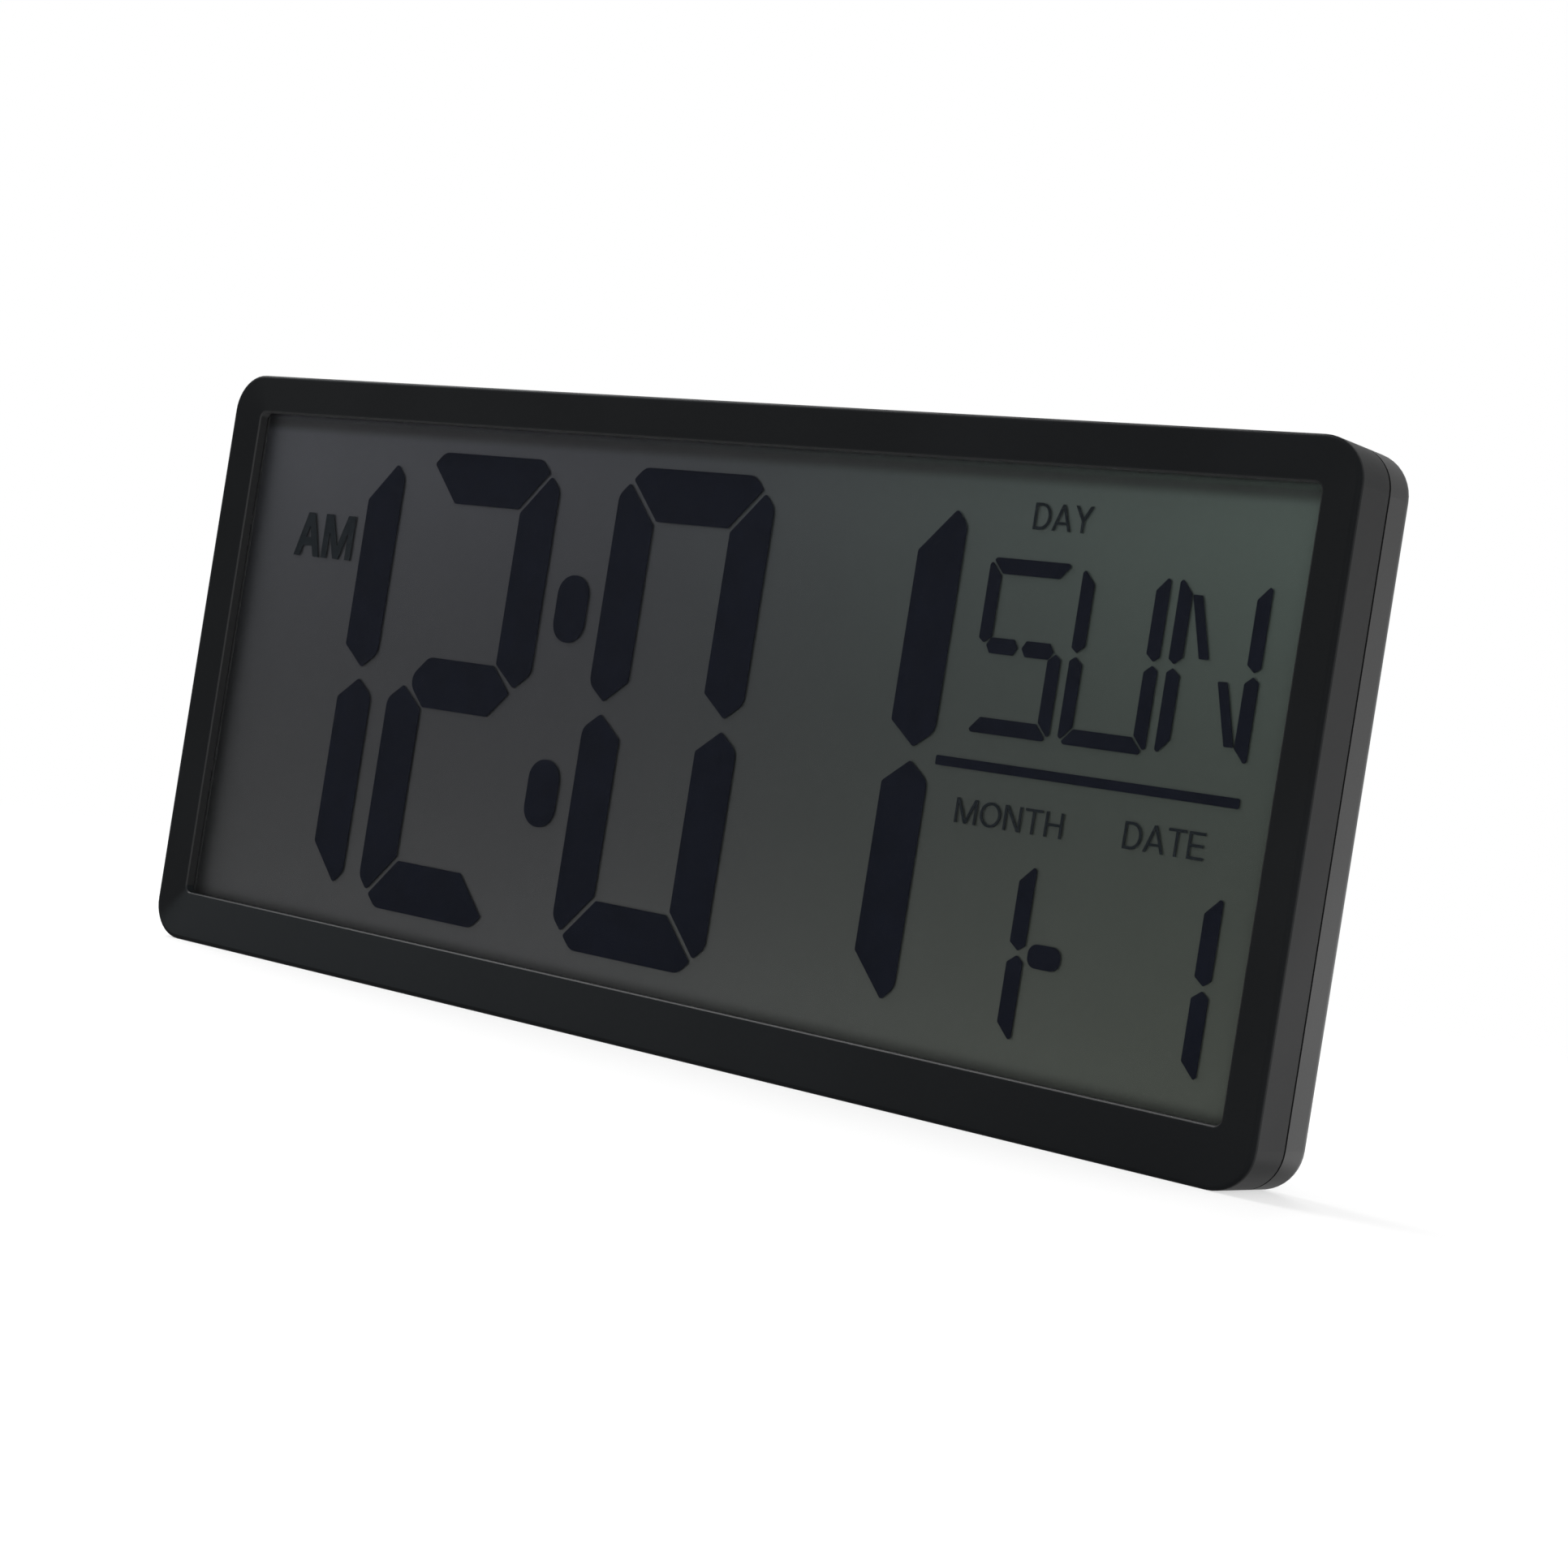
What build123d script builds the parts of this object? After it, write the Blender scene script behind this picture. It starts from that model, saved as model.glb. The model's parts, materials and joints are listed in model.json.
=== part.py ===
"""Digital wall clock: a liquid-crystal display in a two-shell plastic case with a fold-out foot.

Millimetres. The origin is the centre of the back plane, where the clock lies against a wall.
+X is to the right as the display is read, +Y goes into the wall, +Z is up.
"""
import os
from math import sqrt

from build123d import *

# Display layout: the digits set the size of the window, and the window sets the case
digit_w = 52.35
digit_h = 126.6
segment_w = 13.15
segment_h = 13.85
segment_gap = 1.4
digit_space = 6.85
digit_drop = 0.2
colon_space = 21.45
margin_left = 46.65
margin_right = 9.86
margin_high = 7.1
calendar_space = 8.38
letter_w = 23.55
letter_h = 41.4
letter_segment_w = 3.5
letter_segment_h = 3.75
letter_space = 2.43
letter_drop = 14.85
slant_w = 2.5
slant_h = 14.2
slant_run = 4.0
slant_gap = 0.2
slant_rise = 2.2
small_digit_h = 42.2
small_segment_w = 4.3
small_digit_rise = 0.35
month_inset = 49.26
divider_w = 82.3
divider_t = 2.3
divider_drop = 63.9
colon_w = 11.0
colon_h = 17.9
colon_pitch = 49.1
dash_w = 8.9
dash_h = 5.6
dash_corner_r = 2.4
corner_cut = 7.7
corner_ease = 4.0

# Case shells
wall = 2.2
corner_r = 10.5
front_edge_r = 0.9
rear_edge_r = 4.0
seam_depth = 13.5
seam_gap = 0.7
tongue_t = 1.2
tongue_len = 3.0
tongue_clear = 0.15
tongue_root = 2.5

# Bezel
dish = 1.5
bezel_land = 1.2
bezel_t = 2.8
lip_chamfer = 0.35
window_r = 2.0
rim_t = 1.5

# Liquid-crystal display, front to back
glass_recess = 4.2
polarizer_t = 0.2
polarizer_inset = 0.3
glass_t = 0.7
cell_gap = 0.3
film_t = 0.15
reflector_t = 0.2
lcd_overlap = 1.0
contact_ledge = 3.4
seal_w = 0.8

# Display tray and circuit board
tray_t = 2.0
tray_bar = 7.0
ear_h = 9.0
ear_rim = 1.7
ear_drop = 35.0
standoff = 2.1
standoff_r = 2.4
board_t = 1.6
board_h = 43.0
board_inset = 4.0
board_gap = 1.5
zebra_t = 2.2
zebra_inset = 3.0

# Parts soldered to the board
chip_r = 6.0
chip_h = 1.2
chip_rise = 11.0
crystal_r = 1.5
crystal_l = 8.0
crystal_lift = 0.1
crystal_leg = 0.4
crystal_leg_l = 2.0
capacitor_l = 3.2
capacitor_w = 1.6
capacitor_h = 1.2
capacitor_pitch = 5.0
capacitor_count = 3
switch_w = 6.0
switch_h = 3.5
plunger_r = 1.7
plunger_h = 1.5
plunger_depth = 1.0
plunger_clear = 0.1
plunger_room = 1.0

# Push buttons on the back
button_r = 3.5
button_clear = 0.2
button_pitch = 20.0
button_rise = 28.1
button_sink = 0.8
flange_r = 4.8
flange_t = 1.2
flange_play = 0.2
stem_r = 2.0
pocket_depth = 2.5
pocket_rim = 6.5
pocket_half_h = 12.0
pocket_r = 3.0

# Fasteners
boss_r = 2.3
boss_gap = 0.8
boss_rise = 2.0
post_r = 3.6
case_screw_inset = 6.3
tray_screw_inset = 5.7
screw_clear = 0.05
tip_clear = 0.6
case_screw_r = 1.2
case_head_r = 2.1
case_head_h = 1.6
case_seat = 3.0
case_screw_l = 9.0
counterbore_clear = 0.3
small_screw_r = 1.0
small_head_r = 1.9
small_head_h = 1.3
small_screw_l = 4.6
board_screw_l = 5.0
cross_w = 0.6
cross_depth = 0.7

# Battery compartment
aa_d = 14.2
aa_l = 50.5
aa_nub_r = 2.75
aa_nub_h = 1.3
aa_space = 1.0
aa_clear = 0.3
aa_side_clear = 0.7
spring_space = 6.7
contact_t = 0.4
contact_w = 11.0
contact_h = 10.0
leaf_w = 6.0
leaf_t = 0.45
leaf_clear = 0.1
tail_w = 2.0
tail_l = 5.0
tail_clear = 0.15
tub_t = 2.6
tub_floor = 1.2
tub_gap = 1.3
tub_drop = 44.5
door_t = 1.8
door_gap = 0.6
door_sink = 0.3
door_seat = 1.2
door_clear = 0.3
door_lift = 0.1
stub_r = 0.55
stub_l = 1.2
stub_clear = 0.08
latch_w = 14.0
latch_h = 9.0
latch_slit = 0.8
grip_count = 3
grip_pitch = 2.2
grip_w = 0.9
grip_h = 0.25
scoop_h = 5.0
scoop_depth = 1.4

# Leads from the battery to the board
lead_r = 0.6
lead_bend = 6.0
lead_pitch = 4.0
lead_inset = 12.0

# Fold-out foot
foot_w = 100.0
foot_l = 70.0
foot_t = 3.0
foot_clear = 0.4
foot_tip_rise = 1.4
foot_corner_r = 8.0
pin_r = 0.8
pin_clear = 0.05
pin_grip = 1.5
recess_floor = 2.2
recess_wall = 1.8
foot_slot_w = 60.0
foot_slot_h = 16.0
foot_slot_rise = 14.0

# Keyholes for two wall screws
keyhole_pitch = 180.0
keyhole_drop = 32.5
keyhole_r = 4.25
keyslot_w = 4.6
keyslot_l = 9.0

# Margin that carries a cutter past the face it opens
past = 1.0

# Window, bezel and case sizes that follow from the display and its bosses
calendar_w = 3 * letter_w + 2 * letter_space
view_w = (
    margin_left + segment_w + 3 * digit_w + 2 * digit_space
    + colon_space + calendar_space + calendar_w + margin_right
)
view_h = digit_h + 2 * margin_high
bezel_side = tray_screw_inset + boss_r + boss_gap + lcd_overlap
bezel_top = case_screw_inset + boss_r + boss_gap + lcd_overlap
bezel_bottom = bezel_top + contact_ledge
case_w = view_w + 2 * bezel_side
case_h = view_h + bezel_top + bezel_bottom
lcd_stack = polarizer_t + 2 * glass_t + cell_gap + reflector_t
case_d = (
    glass_recess + lcd_stack + tub_gap + tub_floor + aa_clear
    + aa_d + door_gap + door_t + door_sink
)

# Levels in X and Z
z_top = case_h / 2
z_bottom = -case_h / 2
z_window_top = z_top - bezel_top
z_window_bottom = z_bottom + bezel_bottom
z_view = (z_window_top + z_window_bottom) / 2
lcd_half_w = view_w / 2 + lcd_overlap
z_lcd_top = z_window_top + lcd_overlap
z_lcd_bottom = z_window_bottom - lcd_overlap
z_ledge_bottom = z_lcd_bottom - contact_ledge

# Levels in Y, front to back
y_front = -case_d
y_lip = y_front + dish
y_plate = y_front + bezel_t
y_lcd = y_front + glass_recess
y_front_glass = y_lcd + polarizer_t
y_cell = y_front_glass + glass_t
y_rear_glass = y_cell + cell_gap
y_reflector = y_rear_glass + glass_t
y_tray = y_reflector + reflector_t
y_tray_back = y_tray + tray_t
y_board = y_tray_back + standoff
y_board_back = y_board + board_t
y_meet = y_tray_back + boss_rise
y_seam = y_front + seam_depth
y_cover = y_seam + seam_gap
y_tub = y_tray + tub_gap
y_aa = y_tub + tub_floor + aa_clear + aa_d / 2
y_door = -door_sink - door_t
y_switch_top = y_board_back + switch_h
y_plunger_top = y_switch_top + plunger_h
y_pocket = -pocket_depth
y_pocket_inner = y_pocket - wall

# Case screws: one near each corner and one beside the foot on each side, top and bottom
recess_half_w = foot_w / 2 + foot_clear
screw_x_outer = case_w / 2 - corner_r
screw_x_inner = recess_half_w + recess_wall + boss_rise + post_r
screw_z = z_top - case_screw_inset
case_screw_points = [
    (side * x, level * screw_z)
    for level in (1, -1)
    for side in (-1, 1)
    for x in (screw_x_inner, screw_x_outer)
]
y_case_seat = y_meet + case_seat

# Tray screws: two on each side of the display
tray_screw_x = case_w / 2 - tray_screw_inset
tray_screw_points = [
    (side * tray_screw_x, z)
    for side in (-1, 1)
    for z in (z_lcd_top - ear_drop, z_lcd_bottom + ear_drop)
]

# Circuit board between the inner and the outer posts on the right
board_left = screw_x_inner + post_r + board_gap
board_right = screw_x_outer - post_r - board_gap
board_x = (board_left + board_right) / 2
z_board_bottom = z_ledge_bottom
z_board_top = z_board_bottom + board_h
board_screw_points = [
    (x, z)
    for x in (board_left + board_inset, board_right - board_inset)
    for z in (z_lcd_bottom + board_inset, z_board_top - board_inset)
]
button_names = ("set", "plus", "minus", "hour_mode")
button_z = z_board_bottom + button_rise
button_xs = [board_x + (i - (len(button_names) - 1) / 2) * button_pitch for i in range(len(button_names))]

# Battery compartment
z_tub = z_top - tub_drop
tub_half_l = (aa_l + spring_space) / 2 + contact_t
aa_half_pitch = (aa_d + aa_space) / 2
tub_half_h = aa_half_pitch + aa_d / 2 + aa_side_clear
door_half_w = tub_half_l + door_seat
door_half_h = tub_half_h + door_seat
y_door_axis = y_door + door_t / 2
z_door_axis = z_tub + door_half_h - door_t / 2

# Foot hinge
y_foot = -foot_clear - foot_t / 2
z_foot_hinge = z_bottom + foot_tip_rise + foot_l
foot_recess = 2 * foot_clear + foot_t
z_recess_top = z_foot_hinge + foot_t / 2 + foot_clear


def slab(sketch, y0, y1):
    """Extrude a sketch drawn in X and Z from y0 back to y1."""
    return extrude(Plane.XZ.offset(-y1) * sketch, amount=y1 - y0, dir=(0, -1, 0))


def block(x0, x1, y0, y1, z0, z1):
    """A box between two corners."""
    return Pos((x0 + x1) / 2, (y0 + y1) / 2, (z0 + z1) / 2) * Box(x1 - x0, y1 - y0, z1 - z0)


def rod_y(r, x, z, y0, y1):
    """A round bar along Y."""
    return slab(Pos(x, z) * Circle(r), y0, y1)


def rod_x(r, y, z, x0, x1):
    """A round bar along X."""
    return extrude(Plane.YZ.offset(x0) * Pos(y, z) * Circle(r), amount=x1 - x0)


def case_outline(inset):
    """The outline of the case, moved in by an inset."""
    return RectangleRounded(case_w - 2 * inset, case_h - 2 * inset, corner_r - inset)


def window_outline(grow):
    """The outline of the display window, moved out by grow."""
    return Pos(0, z_view) * RectangleRounded(view_w + 2 * grow, view_h + 2 * grow, window_r + grow)


def lcd_sheet(y0, y1, z_low, inset=0.0):
    """A flat layer of the display."""
    return block(
        inset - lcd_half_w, lcd_half_w - inset, y0, y1, z_low + inset, z_lcd_top - inset
    )


def dish_outline(y):
    """The outline of the dished face at a level, straight from the bezel's land to its lip."""
    u = (y - y_front) / dish
    half_w = (1 - u) * (case_w / 2 - bezel_land) + u * (view_w / 2 + lip_chamfer)
    high = (1 - u) * (z_top - bezel_land) + u * (z_window_top + lip_chamfer)
    low = (1 - u) * (z_bottom + bezel_land) + u * (z_window_bottom - lip_chamfer)
    r = (1 - u) * (corner_r - bezel_land) + u * (window_r + lip_chamfer)
    return Pos(0, (high + low) / 2) * RectangleRounded(2 * half_w, high - low, r)


def taper(low, y0, high, y1):
    """A solid that runs straight from one outline at y0 to another at y1."""
    faces = [Plane.XZ.offset(-y0) * low, Plane.XZ.offset(-y1) * high]
    return loft(faces, ruled=True)


def screw(x, z, y_seat, r, head_r, head_h, length):
    """A pan-head screw with a cross recess, its head towards the back."""
    body = rod_y(head_r, x, z, y_seat, y_seat + head_h)
    body = fillet(body.edges().group_by(Axis.Y)[-1], head_h / 3)
    body += rod_y(r, x, z, y_seat - length, y_seat)
    y_cross = y_seat + head_h - cross_depth
    arm = head_r * 0.6
    half = cross_w / 2
    body -= block(x - arm, x + arm, y_cross, y_seat + head_h + past, z - half, z + half)
    body -= block(x - half, x + half, y_cross, y_seat + head_h + past, z - arm, z + arm)
    return body


def front_frame():
    """Front shell: side walls, dished bezel and the rim that the display rests against."""
    shell = slab(case_outline(0), y_front, y_seam)
    shell = fillet(shell.edges().group_by(Axis.Y)[0], front_edge_r)
    shell -= slab(case_outline(wall), y_plate, y_seam + past)
    shell += slab(window_outline(rim_t), y_plate, y_lcd)
    y_boss = y_plate - bezel_t / 4
    for x, z in case_screw_points:
        shell += rod_y(boss_r, x, z, y_boss, y_meet)
    for x, z in tray_screw_points:
        shell += rod_y(boss_r, x, z, y_boss, y_tray)
    y_ahead = y_front - past
    opening = taper(dish_outline(y_ahead), y_ahead, dish_outline(y_lip), y_lip)
    opening += taper(window_outline(lip_chamfer), y_lip, window_outline(0), y_lip + lip_chamfer)
    opening += slab(window_outline(0), y_lip, y_lcd + past)
    shell -= opening
    for x, z in case_screw_points:
        shell -= rod_y(case_screw_r + screw_clear, x, z, y_case_seat - case_screw_l - tip_clear, y_meet)
    for x, z in tray_screw_points:
        shell -= rod_y(small_screw_r + screw_clear, x, z, y_tray_back - small_screw_l - tip_clear, y_tray)
    return shell


def rear_cover():
    """Rear shell: back plate, walls, tongue, battery tub, button pocket and foot recess."""
    shell = slab(case_outline(0), y_cover, 0)
    shell = fillet(shell.edges().group_by(Axis.Y)[-1], rear_edge_r)
    shell -= slab(case_outline(wall), y_cover - past, -wall)
    tongue_in = wall + tongue_clear + tongue_t
    root = slab(case_outline(wall / 2), y_cover, y_cover + tongue_root)
    root -= slab(case_outline(tongue_in), y_cover - past, y_cover + tongue_root + past)
    tongue = slab(case_outline(wall + tongue_clear), y_seam - tongue_len, y_cover + tongue_root / 2)
    tongue -= slab(case_outline(tongue_in), y_seam - tongue_len - past, y_cover + tongue_root)
    shell += root
    shell += tongue
    for x, z in case_screw_points:
        shell += rod_y(post_r, x, z, y_meet, -wall / 2)
    shell = with_battery_tub(shell)
    shell = with_button_pocket(shell)
    shell = with_foot_recess(shell)
    for x, z in case_screw_points:
        shell -= rod_y(case_head_r + counterbore_clear, x, z, y_case_seat, past)
        shell -= rod_y(case_screw_r + counterbore_clear, x, z, y_meet - past, y_case_seat)
    for side in (-1, 1):
        shell -= slab(keyhole(side * keyhole_pitch / 2, z_top - keyhole_drop), -wall - past, past)
    return shell


def keyhole(x, z):
    """Round entry for a screw head with a narrow slot above it."""
    slot = Pos(x, z + keyslot_l / 2) * Rectangle(keyslot_w, keyslot_l)
    return Pos(x, z) * Circle(keyhole_r) + slot + Pos(x, z + keyslot_l) * Circle(keyslot_w / 2)


def with_battery_tub(shell):
    """Add the tub for two cells, with its door opening, hinge sockets and lead slots."""
    out_l = tub_half_l + tub_t
    out_h = tub_half_h + tub_t
    shell += block(-out_l, out_l, y_tub, -wall / 2, z_tub - out_h, z_tub + out_h)
    shell -= block(
        -tub_half_l, tub_half_l, y_tub + tub_floor, past, z_tub - tub_half_h, z_tub + tub_half_h
    )
    open_w = door_half_w + door_clear
    open_h = door_half_h + door_clear
    shell -= block(-open_w, open_w, y_door - door_lift, past, z_tub - open_h, z_tub + open_h)
    socket_x = open_w + stub_l
    shell -= rod_x(stub_r + stub_clear, y_door_axis, z_door_axis, -socket_x, socket_x)
    scoop = Pos(0, z_tub - open_h - scoop_h / 2 + past / 2) * Rectangle(latch_w, scoop_h + past)
    shell -= slab(scoop, -scoop_depth, past)
    for level in (1, -1):
        z = z_tub + level * aa_half_pitch
        shell -= block(
            tub_half_l - past, out_l + past, y_aa - contact_t / 2 - tail_clear,
            y_aa + contact_t / 2 + tail_clear, z - tail_w / 2 - tail_clear, z + tail_w / 2 + tail_clear,
        )
    return shell


def with_button_pocket(shell):
    """Add the sunk panel with a hole for each push button."""
    half_w = (button_xs[-1] - button_xs[0]) / 2 + button_r + pocket_rim
    panel = Pos(board_x, button_z) * RectangleRounded(
        2 * (half_w + wall), 2 * (pocket_half_h + wall), pocket_r + wall
    )
    pocket = Pos(board_x, button_z) * RectangleRounded(2 * half_w, 2 * pocket_half_h, pocket_r)
    shell += slab(panel, y_pocket_inner, -wall / 2)
    shell -= slab(pocket, y_pocket, past)
    for x in button_xs:
        shell -= rod_y(button_r + button_clear, x, button_z, y_pocket_inner - past, past)
    return shell


def with_foot_recess(shell):
    """Add the bay that the foot folds into, open at the bottom edge, with sockets for its pin."""
    out_w = recess_half_w + recess_wall
    shell += block(
        -out_w, out_w, -foot_recess - recess_floor, -wall / 2, z_bottom + wall / 2, z_recess_top + recess_wall
    )
    shell -= block(
        -recess_half_w, recess_half_w, -foot_recess, past, z_bottom - past, z_recess_top
    )
    grip = recess_half_w + pin_grip
    shell -= rod_x(pin_r + pin_clear, y_foot, z_foot_hinge, -grip, grip)
    return shell


def lcd_seal():
    """Frame of sealant that joins the two glasses around the liquid-crystal layer."""
    outer = lcd_sheet(y_cell, y_rear_glass, z_lcd_bottom)
    return outer - lcd_sheet(y_cell - past, y_rear_glass + past, z_lcd_bottom, seal_w)


def display_tray():
    """Frame behind the display, with screw ears at the sides and a panel that carries the board."""
    tray = lcd_sheet(y_tray, y_tray_back, z_lcd_bottom)
    tray -= lcd_sheet(y_tray - past, y_tray_back + past, z_lcd_bottom, tray_bar)
    tray += block(board_left, lcd_half_w, y_tray, y_tray_back, z_lcd_bottom, z_board_top)
    for x, z in tray_screw_points:
        side = 1 if x > 0 else -1
        ear = Pos((x + side * ear_rim - side * tray_bar / 2), z) * Rectangle(tray_bar, ear_h)
        tray += slab(ear, y_tray, y_tray_back)
    for x, z in board_screw_points:
        tray += rod_y(standoff_r, x, z, y_tray_back - tray_t / 2, y_board)
    for x, z in tray_screw_points:
        tray -= rod_y(small_screw_r + screw_clear, x, z, y_tray - past, y_tray_back + past)
    for x, z in board_screw_points:
        tray -= rod_y(small_screw_r + screw_clear, x, z, y_tray, y_board + past)
    return tray


def main_board():
    """Circuit board with its screw holes."""
    board = block(board_left, board_right, y_board, y_board_back, z_board_bottom, z_board_top)
    for x, z in board_screw_points:
        board -= rod_y(small_screw_r + screw_clear, x, z, y_board - past, y_board_back + past)
    return board


def driver_chip():
    """Display driver under a round drop of black resin."""
    drop = rod_y(chip_r, board_x, z_board_bottom + chip_rise, y_board_back, y_board_back + chip_h)
    return fillet(drop.edges().group_by(Axis.Y)[-1], chip_h / 2)


def quartz_crystal():
    """Watch crystal in a round can, lying on the board on its two legs."""
    x0 = board_x - chip_r - 2 * crystal_l
    z = z_board_bottom + chip_rise
    y = y_board_back + crystal_lift + crystal_r
    can = rod_x(crystal_r, y, z, x0, x0 + crystal_l)
    half = crystal_leg / 2
    for dz in (-crystal_r / 2, crystal_r / 2):
        foot_x = x0 - crystal_leg_l
        can += block(foot_x, x0 + past, y - half, y + half, z + dz - half, z + dz + half)
        can += block(foot_x, foot_x + crystal_leg, y_board_back, y + half, z + dz - half, z + dz + half)
    return can


def capacitors():
    """Row of chip capacitors beside the driver."""
    x0 = board_x + 2 * chip_r
    z = z_board_bottom + chip_rise
    return [
        block(
            x0 + i * capacitor_pitch, x0 + i * capacitor_pitch + capacitor_w, y_board_back,
            y_board_back + capacitor_h, z - capacitor_l / 2, z + capacitor_l / 2,
        )
        for i in range(capacitor_count)
    ]


def tact_switch(x):
    """Body of one tactile switch, open at the back for its plunger."""
    half = switch_w / 2
    body = block(x - half, x + half, y_board_back, y_switch_top, button_z - half, button_z + half)
    y_floor = y_switch_top - plunger_depth - plunger_room
    return body - rod_y(plunger_r + plunger_clear, x, button_z, y_floor, y_switch_top + past)


def switch_plunger(x):
    """Plunger of one tactile switch, touching the stem of its button."""
    return rod_y(plunger_r, x, button_z, y_switch_top - plunger_depth, y_plunger_top)


def push_button(x):
    """Button with a round head in the pocket, a flange behind the panel and a stem to its switch."""
    head = rod_y(button_r, x, button_z, y_pocket_inner - flange_play - flange_t, -button_sink)
    head = fillet(head.edges().group_by(Axis.Y)[-1], button_sink / 2)
    y_flange = y_pocket_inner - flange_play - flange_t
    head += rod_y(flange_r, x, button_z, y_flange, y_flange + flange_t)
    return head + rod_y(stem_r, x, button_z, y_plunger_top, y_flange + flange_t / 2)


def battery_cell(z, plus_side):
    """One AA cell lying along X, its nub against the contact on its plus side."""
    x_nub = plus_side * (tub_half_l - contact_t)
    x_shoulder = x_nub - plus_side * aa_nub_h
    x_base = x_nub - plus_side * aa_l
    can = rod_x(aa_d / 2, y_aa, z, min(x_shoulder, x_base), max(x_shoulder, x_base))
    can = fillet(can.edges(), aa_nub_h / 3)
    x_in = x_shoulder - plus_side * past
    return can + rod_x(aa_nub_r, y_aa, z, min(x_nub, x_in), max(x_nub, x_in))


def contact_plate(side, z0, z1):
    """Flat contact against one end wall of the tub."""
    x_wall = side * tub_half_l
    x_face = x_wall - side * contact_t
    return block(min(x_wall, x_face), max(x_wall, x_face), y_aa - contact_h / 2, y_aa + contact_h / 2, z0, z1)


def contact_leaf(side, z):
    """Bent leaf that pushes on the flat end of a cell."""
    x_face = side * (tub_half_l - contact_t)
    x_tip = x_face - side * (spring_space - leaf_clear)
    x_free = (x_face + x_tip) / 2
    low = y_aa - contact_h / 2
    high = y_aa + contact_h / 2
    back = side * leaf_t
    points = [
        (x_face - back, low), (x_tip, y_aa), (x_free, high),
        (x_free + back, high), (x_tip + back, y_aa), (x_face + back / 2, low),
    ]
    leaf = Plane.XY.offset(z - leaf_w / 2) * Polygon(*points, align=None)
    return extrude(leaf, amount=leaf_w, dir=(0, 0, 1))


def contact_tail(z):
    """Tongue of a contact that passes through the tub's wall to its lead."""
    half = contact_t / 2
    x0 = tub_half_l - contact_t
    return block(x0, x0 + tail_l, y_aa - half, y_aa + half, z - tail_w / 2, z + tail_w / 2)


def lead(z, column):
    """Insulated wire from a contact's tail down to the back of the board."""
    x0 = tub_half_l - contact_t + tail_l
    x1 = board_left + lead_inset + column * lead_pitch
    z1 = z_board_top - board_inset
    path = FilletPolyline(
        (x0, y_aa, z), (x1, y_aa, z), (x1, y_aa, z1), (x1, y_board_back, z1),
        radius=min(lead_bend, (y_aa - y_board_back) * 0.9),
    )
    profile = Plane.YZ.offset(x0) * Pos(y_aa, z) * Circle(lead_r)
    return sweep(profile, path=path)


def battery_door():
    """Lid of the battery tub, with hinge stubs at the top, a sprung tongue and grip ridges."""
    y0 = y_door
    y1 = -door_sink
    z0 = z_tub - door_half_h
    door = block(-door_half_w, door_half_w, y0, y1, z0, z_door_axis)
    door += rod_x(door_t / 2, y_door_axis, z_door_axis, -door_half_w, door_half_w)
    stub_x = door_half_w + stub_l
    door += rod_x(stub_r, y_door_axis, z_door_axis, -stub_x, stub_x)
    for side in (-1, 1):
        x = side * latch_w / 2
        door -= block(x - latch_slit / 2, x + latch_slit / 2, y0 - past, y1 + past, z0 - past, z0 + latch_h)
    rib = latch_w / 2 - 2 * latch_slit
    for i in range(grip_count):
        z = z0 + (i + 1) * grip_pitch
        door += block(-rib, rib, y1 - door_t / 2, y1 + grip_h, z - grip_w / 2, z + grip_w / 2)
    return door


def stand_foot():
    """Fold-out foot: a flat leaf with rounded ends, a bore for its pin and a finger slot."""
    profile = Circle(foot_t / 2)
    profile += Pos(0, -foot_l / 2 + foot_t / 4) * Rectangle(foot_t, foot_l - foot_t / 2)
    profile += Pos(0, foot_t / 2 - foot_l) * Circle(foot_t / 2)
    leaf = extrude(Plane.YZ.offset(-foot_w / 2) * Pos(y_foot, z_foot_hinge) * profile, amount=foot_w)
    z_tip = z_foot_hinge - foot_l
    z_head = z_foot_hinge + foot_t / 2
    outline = Pos(0, (z_tip + z_head + foot_corner_r) / 2) * RectangleRounded(
        foot_w, z_head - z_tip + foot_corner_r, foot_corner_r
    )
    leaf &= slab(outline, y_foot - foot_t, y_foot + foot_t)
    slot = Pos(0, z_tip + foot_slot_rise + foot_slot_h / 2) * RectangleRounded(
        foot_slot_w, foot_slot_h, foot_slot_h / 2 - foot_clear
    )
    leaf -= slab(slot, y_foot - foot_t, y_foot + foot_t)
    return leaf - rod_x(pin_r + pin_clear, y_foot, z_foot_hinge, -foot_w / 2 - past, foot_w / 2 + past)


def stand_hinge_pin():
    """Steel pin of the foot, held at both ends in the sides of its bay."""
    half = recess_half_w + pin_grip
    return rod_x(pin_r, y_foot, z_foot_hinge, -half, half)


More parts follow.
